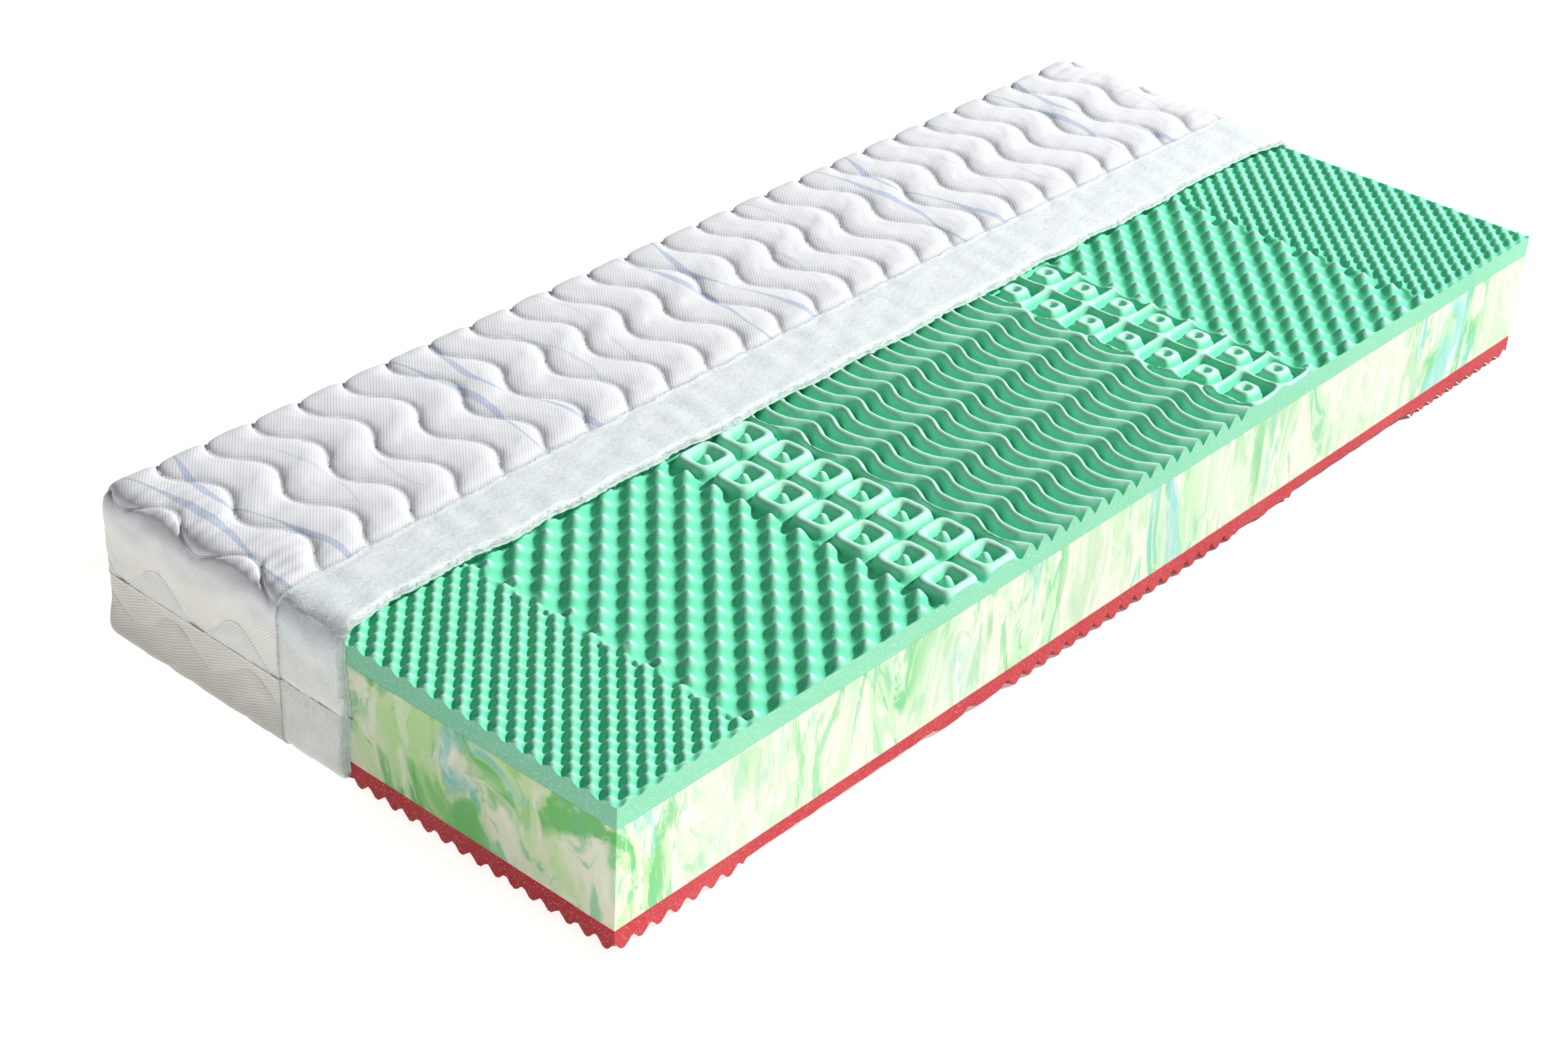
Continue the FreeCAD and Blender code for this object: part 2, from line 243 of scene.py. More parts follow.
def marbled_foam():
    """Cream foam with green and turquoise swirls that run mostly upright."""
    n = Nodes("marbled_foam", 0.85)
    swirl = n.mapping((1.5, 0.60, 0.42))
    swirls = ((5.0, 2, 0.5, 0.22), (17, 3, 0.6, 0.048), (60, 2, 0.5, 0.007))
    for scale, detail, rough, reach in swirls:
        swirl = n.add_vectors(swirl, n.noise(scale, detail, rough, swirl, colour=True), reach)

    def veil(scale, shift, low, high, detail=5):
        place = n.mapping((1, 1, 1), swirl, (shift, shift, 0))
        return n.span(n.noise(scale, detail, 0.55, place, 0.7), low, high)

    patch = n.span(n.noise(3.6, 2, 0.5, n.mapping((1, 1, 1), swirl, (3, 1, 2))), 0.38, 0.58)
    x = n.axes()["X"]
    corner = n.span(x, CORE_LOW.x + 0.15, CORE_LOW.x + 0.06)
    calm = n.span(n.math("ABSOLUTE", n.minus(x, CORE_LOW.x + 0.21)), 0.10, 0.04, 0.0, 0.8)
    patch = n.math("MAXIMUM", n.minus(patch, calm), corner)
    some = n.math("MULTIPLY_ADD", patch, 0.75, 0.25)
    cloud = n.noise(5, 2)
    # Painted light: near the near end the cream is lighter and yellower and the first two swirl
    # colours are yellower, standing in for warm fill light on that shaded end.
    painted_end_light = n.span(x, CORE_LOW.x + 0.12, CORE_LOW.x + 0.01)
    colour = n.mix(painted_end_light, n.mix(cloud, (0.58, 0.61, 0.50), (0.64, 0.66, 0.57)),
                   n.mix(cloud, (0.67, 0.68, 0.51), (0.73, 0.74, 0.61)))
    veils = (((16, 1.0, 0.42, 0.60), 0.80, n.mix(painted_end_light, (0.37, 0.62, 0.36), (0.38, 0.68, 0.24))),
             ((13, 4.0, 0.515, 0.63, 4), 0.92,
              n.mix(painted_end_light, (0.13, 0.48, 0.17), (0.09, 0.44, 0.09))),
             ((36, 7.0, 0.53, 0.62, 4), 0.70, (0.13, 0.48, 0.25)),
             ((12, 11.0, 0.565, 0.68, 4), 0.70, (0.17, 0.52, 0.54)))
    for shape, share, other in veils:
        colour = n.tint(colour, n.mul(veil(*shape), some), share, other)
    colour = n.tint(colour, veil(34, 15.0, 0.54, 0.62), 0.4, (0.80, 0.83, 0.72))
    # Painted glints: small white specks where cut cells catch the light.
    colour = n.tint(colour, n.specks(620, 0.04), 0.4, (0.92, 0.96, 0.90))
    colour = n.tint(colour, n.span(n.noise(900, 2, 0.7), 0.3, 0.7), 0.10, (0.60, 0.72, 0.56))
    n.bump(n.noise(700, 3, 0.7), 0.0005, 0.5)
    return n.finish(colour, 0.08, (1, 1, 0.95), 0.10, (0.003, 0.003, 0.002))


def glue():
    """Dried adhesive, a thin uneven line between the foam layers."""
    n = Nodes("glue", 0.6)
    patches = n.span(n.noise(60, 3), 0.35, 0.65)
    n.bump(n.noise(400, 2), 0.0003, 0.5)
    return n.finish(n.mix(patches, (0.20, 0.32, 0.22), (0.30, 0.40, 0.26)))


def cloth_axes(n):
    """The two coordinates on the uncut cloth, in metres."""
    axes = n.axes(n.attribute("cloth", "Vector"))
    return axes["X"], axes["Y"]


def loops(n, u, v, pitch):
    """Staggered pits of a double knit: 1 in a pit, 0 on the loops round it."""
    a = n.math("COSINE", n.mul(u, TAU / pitch))
    b = n.math("COSINE", n.mul(v, TAU / (pitch * 1.15)))
    return n.span(n.mul(a, b), 0.25, 0.95)


def ribbon(n, u, v, place, swing, length, phase, narrow, wide):
    """A woven stripe that winds along the cloth and swells and thins as it goes."""
    turn = n.math("MULTIPLY_ADD", v, TAU / length, phase)
    off = n.math("ABSOLUTE", n.minus(n.plus(u, n.mul(n.sine(turn), swing)), place))
    swell = n.math("MULTIPLY_ADD", n.sine(n.mul(turn, 1.7)),
                   (wide - narrow) / 2, (wide + narrow) / 2)
    return n.span(n.minus(swell, off), -0.0006, 0.0006)


def cover_knit():
    """White double knit: fine pits, soft cloud shading, and winding woven stripes."""
    n = Nodes("cover_knit", 0.82)
    u, v = cloth_axes(n)
    pits = loops(n, u, v, 0.0052)
    colour = n.mix(n.noise(14, 3), (0.74, 0.755, 0.80), (0.80, 0.81, 0.84))
    # Painted shade: the knit's pits are darkened.
    colour = n.tint(colour, pits, 0.26, (0.42, 0.45, 0.52))
    repeat = 0.43
    moved = n.plus(n.plus(u, n.mul(n.sine(n.mul(v, 7.0)), 0.01)), 0.150)
    along = n.mul(n.math("FRACT", n.mul(moved, 1 / repeat)), repeat)
    bold = n.math("MAXIMUM", ribbon(n, along, v, 0.055, 0.016, 0.42, 0.4, 0.0016, 0.0072),
                  ribbon(n, along, v, 0.120, 0.018, 0.36, 2.2, 0.0011, 0.0058))
    faint = n.math("MAXIMUM", ribbon(n, along, v, 0.315, 0.016, 0.31, 4.0, 0.0005, 0.0024),
                   ribbon(n, along, v, 0.210, 0.030, 0.47, 1.1, 0.0004, 0.0035))
    woven = n.span(n.sine(n.mul(n.plus(u, v), TAU / 0.0017)), -0.9, 0.6, 0.55, 1.0)
    inked = n.mul(n.math("ADD", bold, n.mul(faint, 0.4), clamp=True), woven)
    colour = n.tint(colour, inked, 0.70, (0.30, 0.41, 0.62))
    # Painted light: on the sides the same cloth turns from the top's bluish white to cream and
    # darkens towards the seam, standing in for sky light on the top and shade on the sides; its pits
    # are darkened as painted shade too.
    z = n.axes()["Z"]
    plain = n.mix(n.span(z, 0.10, 0.20), (0.82, 0.81, 0.765), (0.94, 0.925, 0.87))
    colour = n.tint(colour, n.span(z, 0.20, 0.15), 0.85,
                    n.tint(plain, pits, 0.5, (0.60, 0.585, 0.54)))
    n.bump(n.minus(n.mul(n.noise(900, 2, 0.6), 0.5), pits), 0.0006, 0.55)
    return n.finish(colour, 0.2, (0.95, 0.97, 1.0))


def border_knit():
    """The cover's lower half: plainer cloth with a diagonal rib."""
    n = Nodes("border_knit", 0.85)
    u, v = cloth_axes(n)
    slant = n.plus(n.minus(u, n.mul(v, 0.42)), n.mul(n.noise(30, 2), 0.004))
    lines = n.sine(n.mul(slant, TAU / 0.0042))
    # Painted shade: the cloth darkens towards the floor.
    colour = n.mix(n.span(n.axes()["Z"], 0.0, 0.098), (0.56, 0.55, 0.52), (0.80, 0.79, 0.745))
    colour = n.tint(colour, n.noise(14, 3), 0.3, (0.70, 0.69, 0.65))
    # Painted shade: the rib's grooves are darkened.
    colour = n.tint(colour, n.span(lines, 0.2, -0.9), 0.16, (0.44, 0.43, 0.41))
    n.bump(n.plus(n.mul(lines, 0.5), n.noise(900, 2, 0.6)), 0.0005, 0.6)
    return n.finish(colour, 0.15, (1.0, 0.99, 0.96))


def wadding():
    """Soft polyester wadding: tangled fine fibres with a bluish cast, and painted warm light lower
    down on the ends.
    """
    n = Nodes("wadding", 0.95)
    swirl = n.add_vectors(n.place, n.noise(60, 2, colour=True), 0.01)
    fibres = n.noise(420, 4, 0.75, n.mapping((1, 0.5, 1), swirl, turn=(0, 0, 0.7)))
    cross = n.noise(380, 4, 0.75, n.mapping((0.5, 1, 1), swirl, turn=(0, 0, -0.4)))
    tangle = n.mul(n.plus(fibres, cross), 0.5)
    colour = n.mix(n.span(tangle, 0.35, 0.65), (0.60, 0.67, 0.73), (0.80, 0.85, 0.88))
    colour = n.tint(colour, n.span(n.noise(18, 3), 0.35, 0.7), 0.3, (0.84, 0.88, 0.90))
    # Painted light: lower down, on the ends, the wadding turns warmer and lighter, standing in for
    # warm light bounced from the floor.
    painted_warm_bounce = n.mix(n.span(tangle, 0.3, 0.7), (0.74, 0.76, 0.69), (0.86, 0.88, 0.82))
    colour = n.tint(colour, n.span(n.axes()["Z"], 0.20, 0.13), 0.75, painted_warm_bounce)
    colour = n.tint(colour, n.attribute("edge"), 0.5, (0.84, 0.93, 0.89))
    n.bump(tangle, 0.0012, 0.7)
    return n.finish(colour, 0.5, (0.95, 0.98, 1.0), 0.35, (0.006, 0.007, 0.008))


def fleece():
    """Thin backing fleece, slightly see-through, so that it takes the foam's green."""
    n = Nodes("fleece", 0.95)
    fibres = n.noise(500, 4, 0.75)
    colour = n.mix(n.span(fibres, 0.35, 0.65), (0.50, 0.74, 0.66), (0.74, 0.86, 0.83))
    n.bump(fibres, 0.0008, 0.6)
    return n.finish(colour, 0.4, (1, 1, 1), 0.3, (0.004, 0.005, 0.004))


def loose_fibre():
    """Single polyester fibres."""
    n = Nodes("loose_fibre", 0.6)
    return n.finish(n.mix(n.noise(90, 2), (0.74, 0.80, 0.83), (0.90, 0.93, 0.95)), 0.3)


def thread(name="thread"):
    """Twisted white sewing thread."""
    n = Nodes(name, 0.55)
    ply = n.noise(2500, 1)
    n.bump(ply, 0.0001, 0.4)
    return n.finish(n.mix(ply, (0.70, 0.72, 0.76), (0.90, 0.91, 0.93)), 0.2)


def woven_tape(name, dark, light, pitch):
    """Plain woven tape."""
    n = Nodes(name, 0.8)
    weave = n.mul(*(n.sine(n.mul(n.axes()[axis], TAU / pitch)) for axis in "XZ"))
    n.bump(weave, 0.0002, 0.5)
    return n.finish(n.mix(n.span(weave, -0.8, 0.8), dark, light), 0.2)


def coil_plastic():
    """White nylon of the zip's coils."""
    n = Nodes("coil_plastic", 0.35)
    n.feed(n.shader, Specular_IOR_Level=0.5)
    n.bump(n.noise(900, 2), 0.0001, 0.3)
    return n.finish(n.mix(n.noise(300, 2), (0.78, 0.79, 0.80), (0.86, 0.87, 0.88)))


def zip_metal():
    """White painted zinc, rubbed to metal in places."""
    n = Nodes("zip_metal", 0.35)
    rub = n.span(n.noise(240, 4, 0.6), 0.60, 0.72)
    n.feed(n.shader, Roughness=n.span(n.noise(500, 3), 0.3, 0.7, 0.28, 0.45),
           Metallic=n.mul(rub, 0.9))
    n.bump(n.noise(700, 2), 0.00008, 0.3)
    return n.finish(n.mix(rub, (0.82, 0.83, 0.84), (0.52, 0.52, 0.50)))


def floor_paper():
    """Pale studio paper, lit from behind beside the near end and away from the object."""
    n = Nodes("floor_paper", 0.9)
    axes = n.axes()
    x, y = axes["X"], axes["Y"]
    out = n.math("SQRT", n.plus(n.mul(x, x), n.mul(y, y)))
    glow = n.math("MAXIMUM", n.span(x, 0.3, -1.3, 0.08, 0.95), n.span(out, 1.4, 2.2))
    n.feed(n.shader, Emission_Color=(1.0, 0.985, 0.95), Emission_Strength=glow)
    return n.finish(n.mix(n.noise(2, 2), (0.90, 0.90, 0.90), (0.92, 0.92, 0.92)))


# ------------------------------------------------------------------ mesh helpers
def new_object(name, points, faces, material, smooth=True):
    """A mesh object from points and faces of any size."""
    mesh = bpy.data.meshes.new(name)
    mesh.from_pydata(np.asarray(points, float).tolist(), [], faces)
    mesh.materials.append(material)
    mesh.polygons.foreach_set("use_smooth", [smooth] * len(mesh.polygons))
    mesh.update()
    piece = bpy.data.objects.new(name, mesh)
    bpy.context.scene.collection.objects.link(piece)
    return piece


def settle(piece, body, slot, *nodes):
    """Says which body a piece rides on, and hides the CAD nodes that it stands for. The slot is not
    used.
    """
    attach(piece, body)
    if nodes:
        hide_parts(*nodes)
    return piece


def paint(piece, name, values):
    """A number for every vertex, which the material reads."""
    layer = piece.data.attributes.new(name, "FLOAT", "POINT")
    layer.data.foreach_set("value", np.asarray(values, np.float32).ravel())


def edges_within(mesh, group):
    """Which edges have both ends in a group of vertices."""
    ends = np.empty(len(mesh.edges) * 2, np.int64)
    mesh.edges.foreach_get("vertices", ends)
    inside = np.isin(ends, group)
    return inside[0::2] & inside[1::2]


def mark_sharp(piece, *groups):
    """Sharp edges wherever both ends of an edge are in one group."""
    layer = piece.data.attributes.new("sharp_edge", "BOOLEAN", "EDGE")
    sharp = np.any([edges_within(piece.data, group) for group in groups], 0)
    layer.data.foreach_set("value", sharp)


def grid_faces(index, flip=False):
    """Quads between neighbours in a two-way array of vertex numbers."""
    a, b = index[:-1, :-1], index[1:, :-1]
    c, d = index[1:, 1:], index[:-1, 1:]
    quads = np.stack([a, d, c, b] if flip else [a, b, c, d], -1).reshape(-1, 4)
    return quads[(quads >= 0).all(1)].tolist()


def ring_faces(levels, sides, flip=False):
    """Faces between stacked rings of points, closed at both ends."""
    index = np.arange(levels * sides).reshape(levels, sides)
    faces = grid_faces(np.concatenate([index, index[:, :1]], 1), flip)
    return faces + [index[0][::-1].tolist(), index[-1].tolist()]


def unit(vectors):
    return vectors / np.maximum(np.linalg.norm(vectors, axis=-1, keepdims=True), 1e-12)


def smooth_step(value, low, high):
    t = np.clip((value - low) / (high - low), 0, 1)
    return t * t * (3 - 2 * t)


def lattice_noise(x, y, scale, seed):
    """Smooth noise from -1 to 1: a sum of waves in seeded directions."""
    rng = np.random.default_rng(seed)
    total = np.zeros(np.broadcast(x, y).shape)
    for _ in range(9):
        angle = rng.uniform(0, TAU)
        rate = TAU / scale * rng.uniform(0.6, 1.5)
        phase = rng.uniform(0, TAU)
        total += np.sin(rate * (x * math.cos(angle) + y * math.sin(angle)) + phase)
    return total / 4.5


# ------------------------------------------------------------------ foam relief
ZONE_ENDS = (-0.776, -0.432, -0.2816, 0.2263, 0.3745, 0.6985)
NUB_PITCH = (0.0289, 0.02875)
CONE_PITCH = (0.0494, 0.0474)
POT_PITCH = (0.0753, 0.0657)
POT_ROW_Y = -0.410
RING_ROW_Y = -0.402
RIDGE_PITCH = 0.03023
FIRST_CREST = -0.2724
WAVE_PERIOD = 0.0968
WAVE_KINK_Y = -0.0568
WAVE_HALF_SWING = 0.0091
ZONE_BLEND = 0.004


def ridge_wave(y):
    """How far the wavy ridges stand off their mean line, with sharper bends on one side."""
    turn = TAU * (y - WAVE_KINK_Y) / WAVE_PERIOD
    return WAVE_HALF_SWING * (np.cos(turn) + 0.18 * np.cos(2 * turn) - 0.18)


def egg_crate(x, y, pitch, x0, y0):
    """1 on the nubs of a staggered lattice, 0 in the pits between them."""
    return 0.5 + 0.5 * np.cos(TAU * (x - x0) / pitch[0]) * np.cos(TAU * (y - y0) / pitch[1])


def cones(w):
    """Rounded lattice turned into pointed cones."""
    return 0.48 * w + 0.52 * (1 - np.sqrt(np.clip(1 - w, 0, 1)))


def ridges(x, y):
    """Wavy transverse ridges with sharp crests and narrow valleys."""
    turn = (x - ridge_wave(y) - FIRST_CREST) / RIDGE_PITCH
    across = 2 * np.abs(turn - np.round(turn))
    return 1 - (np.sqrt(across ** 2 + 0.07) - 0.2646) / 0.7698


def cell_radius(x, y, x_start, row_y):
    """How far a place is from its cell's middle: as a share of a rounded square, and in metres."""
    cx = (x - x_start) / POT_PITCH[0]
    cy = (y - row_y) / POT_PITCH[1] + 0.5
    cx = 2 * np.abs(cx - np.floor(cx) - 0.5)
    cy = 2 * np.abs(cy - np.floor(cy) - 0.5)
    r = (cx ** 4.5 + cy ** 4.5) ** (1 / 4.5)
    return r, np.hypot(cx * POT_PITCH[0], cy * POT_PITCH[1]) / 2


def ring_nubs(x, y, x_start, row_y):
    """Thick rings in trenches, between sharp ridges that cross."""
    r, round_r = cell_radius(x, y, x_start, row_y)
    wall = np.interp(r, (0, 0.36, 0.44, 0.54, 0.60, 0.72, 0.82, 0.94, 1.0, 1.2),
                     (0.92, 0.94, 0.84, 0.34, 0.06, 0.0, 0.20, 0.72, 0.97, 1.0))
    return wall - np.interp(round_r, (0, 0.0035, 0.0075, 0.0095), (0.62, 0.55, 0.12, 0.0))


def pots(x, y, x_start, row_y):
    """Rounded square cups with a cone in the middle, between V grooves."""
    r, round_r = cell_radius(x, y, x_start, row_y)
    wall = np.interp(r, (0, 0.30, 0.36, 0.44, 0.56, 0.63, 0.69, 0.76, 0.83, 0.94, 1.0, 1.2),
                     (0.10, 0.12, 0.20, 0.48, 0.90, 0.985, 1.0, 0.97, 0.83, 0.30, 0.04, 0.0))
    spike = np.interp(round_r, (0, 0.003, 0.006, 0.0095, 0.013), (0.95, 0.90, 0.70, 0.28, 0.0))
    return np.maximum(wall, spike)


def zone_weights(x, y):
    """Share of each of the seven zones at a place; zones of nubs meet along a jagged line."""
    jag = 0.007 * np.cos(TAU * y / CONE_PITCH[1]) + 0.004 * np.cos(TAU * y / 0.0287)
    shares = []
    before = np.ones_like(x + y)
    for end in ZONE_ENDS:
        line = end + (jag if abs(end) > 0.5 else 0)
        past = smooth_step(x, line - ZONE_BLEND, line + ZONE_BLEND)
        shares.append(before * (1 - past))
        before = before * past
    shares.append(before)
    return shares


def relief_height(x, y, depths, start=(-0.9683, -0.4229)):
    """Height of the relief above its valleys, in metres, at places from the core's middle."""
    fine_pits = 1 - egg_crate(x, y, NUB_PITCH, *start) ** 1.25
    big_cones = cones(egg_crate(x, y, CONE_PITCH, -0.762, -0.4272))
    cups = pots(x, y, ZONE_ENDS[1], POT_ROW_Y)
    waves = ridges(x, y)
    rings = ring_nubs(x, y, ZONE_ENDS[3], RING_ROW_Y)
    far_cones = cones(1 - egg_crate(x, y, CONE_PITCH, 0.4092, -0.4272))
    fine_nubs = egg_crate(x, y, NUB_PITCH, 0.7205, -0.4229) ** 0.9
    shapes = (fine_pits, big_cones, cups, waves, rings, far_cones, fine_nubs)
    total = 0
    for share, shape, depth in zip(zone_weights(x, y), shapes, depths):
        total = total + share * shape * depth
    return total


def relief_columns(low, high, step):
    """Grid lines along the length, set on the crests and valleys of the wavy ridges."""
    per_ridge = 2 * round(RIDGE_PITCH / step / 2)
    first = FIRST_CREST - RIDGE_PITCH / 2
    count = round((ZONE_ENDS[3] - first) / RIDGE_PITCH) * per_ridge
    middle = first + np.arange(count + 1) * RIDGE_PITCH / per_ridge
    left = np.linspace(low, middle[0], round((middle[0] - low) / step) + 1)[:-1]
    right = np.linspace(middle[-1], high, round((high - middle[-1]) / step) + 1)[1:]
    return np.concatenate([left, middle, right])


def sheared(columns, rows):
    """Places of grid points, whose columns follow the wavy ridges where there are any."""
    x, y = np.meshgrid(columns, rows, indexing="ij")
    start, end = ZONE_ENDS[2], ZONE_ENDS[3]
    near = smooth_step(x, start - 0.07, start) * (1 - smooth_step(x, end, end + 0.07))
    return x + ridge_wave(y) * near, y


def foam_slab(name, x, y, relief, flat, material, cut):
    """A closed slab between a relief surface and a flat face, with square sides sawn to size."""
    index = np.arange(x.size).reshape(x.shape)
    ring = np.concatenate([index[:-1, 0], index[-1, :-1], index[:0:-1, -1], index[0, :0:-1]])
    points = np.stack([x, y, relief], -1).reshape(-1, 3)
    lower = points[ring].copy()
    lower[:, 2] = flat
    below = len(points) + np.arange(len(ring))
    up = relief.mean() > flat
    faces = grid_faces(index, flip=not up)
    moulded = len(faces)
    sides = np.stack([np.roll(ring, -1), ring, below, np.roll(below, -1)], -1)
    faces += (sides if up else sides[:, ::-1]).tolist()
    faces.append((below[::-1] if up else below).tolist())
    piece = new_object(name, np.concatenate([points, lower]), faces, material)
    piece.data.materials.append(cut)
    sawn = np.arange(len(faces)) >= moulded
    piece.data.polygons.foreach_set("material_index", sawn.astype(np.int32))
    mark_sharp(piece, np.concatenate([ring, below]))
    return piece


def cut_rows(low, high, fine_from, fine_step, coarse_step):
    """Grid lines across the width, close together on the exposed side."""
    fine = np.linspace(low, fine_from, round((fine_from - low) / fine_step) + 1)
    coarse = np.linspace(fine_from, high, round((high - fine_from) / coarse_step) + 1)
    return np.concatenate([fine, coarse[1:]])


def squeezed(x, z, ceiling, half_length, radius):
    """Heights kept under a cover that bends over the ends with this radius."""
    near_end = np.clip(np.abs(x) - (half_length - radius), 0, radius)
    drop = radius - np.sqrt(radius ** 2 - near_end ** 2)
    return np.minimum(z, ceiling - drop)


def comfort_layer():
    """Green top layer with seven zones of relief."""
    step = 0.0023
    columns = relief_columns(COMFORT_LOW.x, COMFORT_HIGH.x, step)
    covered = WADDING_LOW.y + 0.03
    rows = cut_rows(COMFORT_LOW.y, COMFORT_HIGH.y, covered, step * 1.1, step * 2.2)
    x, y = sheared(columns, rows - CORE_Y)
    x[0], x[-1] = COMFORT_LOW.x, COMFORT_HIGH.x
    valley = COMFORT_LOW.z + 0.022
    depths = np.array((13, 19.5, 17, 17, 17, 19.5, 13)) * MM
    shares = zone_weights(x, y)
    height = relief_height(x, y, depths) - 0.0028 * (shares[1] + shares[5])
    nubs = shares[0] + shares[1] + shares[5] + shares[6]
    at_edge = nubs * (1 - smooth_step(y + CORE_Y, COMFORT_LOW.y, COMFORT_LOW.y + 0.011))
    height = height + (0.0095 - height) * 0.72 * at_edge
    height = (height + 0.00025 * lattice_noise(x, y, 0.012, 3)
              + 0.0004 * lattice_noise(x, y, 0.07, 4))
    z = np.minimum(valley + np.maximum(height, -0.004), COMFORT_HIGH.z)
    under = smooth_step(y + CORE_Y, WADDING_LOW.y - 0.002, WADDING_LOW.y + 0.006)
    ceiling = FLEECE_HIGH.z - 0.0016
    pressed = squeezed(x, z, ceiling, COMFORT_HIGH.x, 0.018)
    z = z * (1 - under) + pressed * under
    piece = foam_slab("comfort_layer_foam", x, y + CORE_Y, z, COMFORT_LOW.z,
                      green_foam(), green_foam_cut())
    level = np.zeros(len(piece.data.vertices))
    level[: z.size] = ((z - valley) / 0.017).ravel()
    level[z.size:] = 0.62
    paint(piece, "relief", level)
    return settle(piece, "core", "green_foam", "comfort_layer")


def base_layer():
    """Red bottom layer, whose relief is pressed flat on the cover's lower panel."""
    step = 0.0027
    columns = relief_columns(BASE_LOW.x, BASE_HIGH.x, step)
    pressed_from = WADDING_LOW.y - 0.016
    near = np.linspace(BASE_LOW.y, BASE_LOW.y + 0.05, round(0.05 / step) + 1)
    middle = np.linspace(near[-1], pressed_from, round((pressed_from - near[-1]) / 0.006) + 1)
    back = np.linspace(pressed_from, BASE_HIGH.y, round((BASE_HIGH.y - pressed_from) / 0.012) + 1)
    rows = np.concatenate([near, middle[1:], back[1:]])
    x, y = sheared(columns, rows - CORE_Y)
    x[0], x[-1] = BASE_LOW.x, BASE_HIGH.x
    depths = np.array((11, 9, 13, 16, 13, 9, 11)) * MM
    height = relief_height(x, y, depths, (BASE_LOW.x, BASE_LOW.y - CORE_Y))
    height = height + 0.0004 * lattice_noise(x, y, 0.02, 5)
    deepest = 0.0165 - 0.004 * np.maximum(zone_weights(x, y)[0], zone_weights(x, y)[6])
    z = np.maximum(deepest - height, BASE_LOW.z)
    under = smooth_step(y + CORE_Y, pressed_from, pressed_from + 0.006)
    z = np.maximum(z, under * (LOWER_FLEECE_LOW.z + 0.0011))
    piece = foam_slab("base_layer_foam", x, y + CORE_Y, z, BASE_HIGH.z, red_foam(),
                      red_foam("red_foam_cut", 0.15))
    return settle(piece, "core", "red_foam", "base_layer")


def plain_slab(name, low, high, inset, steps, material, wobble=0.0):
    """A cut block with slightly uneven sides and square edges."""
    x = np.linspace(low.x + inset, high.x - inset, steps[0] + 1)
    y = np.linspace(low.y + inset, high.y - inset, steps[1] + 1)
    z = np.linspace(low.z, high.z, steps[2] + 1)
    outline = ([(a, y[0], 0, -1) for a in x[:-1]] + [(x[-1], b, 1, 0) for b in y[:-1]]
               + [(a, y[-1], 0, 1) for a in x[:0:-1]] + [(x[0], b, -1, 0) for b in y[:0:-1]])
    outline = np.array(outline)
    rings = []
    for level in z:
        push = wobble * lattice_noise(outline[:, 0] + level, outline[:, 1] - level, 0.09, 11)
        ring = outline[:, :2] + outline[:, 2:] * push[:, None]
        rings.append(np.column_stack([ring, np.full(len(ring), level)]))
    count = len(outline)
    piece = new_object(name, np.concatenate(rings), ring_faces(len(z), count, flip=True), material)
    index = np.arange(count * len(z)).reshape(len(z), count)
    corners = np.cumsum([0, steps[0], steps[1], steps[0]])
    mark_sharp(piece, np.concatenate([index[0], index[-1]]), index[:, corners].ravel())
    return piece


def core_blocks():
    """The marbled block and the two glue films."""
    block = plain_slab("support_core_foam", CORE_LOW, CORE_HIGH, 0, (260, 110, 20),
                       marbled_foam(), 0.0002)
    settle(block, "core", "marbled_foam", "support_core")
    adhesive = glue()
    for node in ("comfort_glue_film", "base_glue_film"):
        low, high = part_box(node)
        film = plain_slab(node + "_line", low, high, 0.0002, (260, 110, 1), adhesive, 0.0004)
        settle(film, "core", "glue", node)


# ------------------------------------------------------------------ quilted cover
QUILT_PITCH = 0.0756
QUILT_START = -0.4535
LAST_LINE = (-7, 19)
EDGE_LINE = 0.990
QUILT_PERIOD = 0.1497
STITCH_DEPTH = 0.0040
FABRIC_THICKNESS = 0.0012
SEAM_RADIUS = 0.030
ZIP_EDGE_Y = 0.4354
WADDING_INSET = 0.0108
LINING_INSET = 0.0111
CLOTH_FRAMES = 12
CLOTH_GROW = 0.003


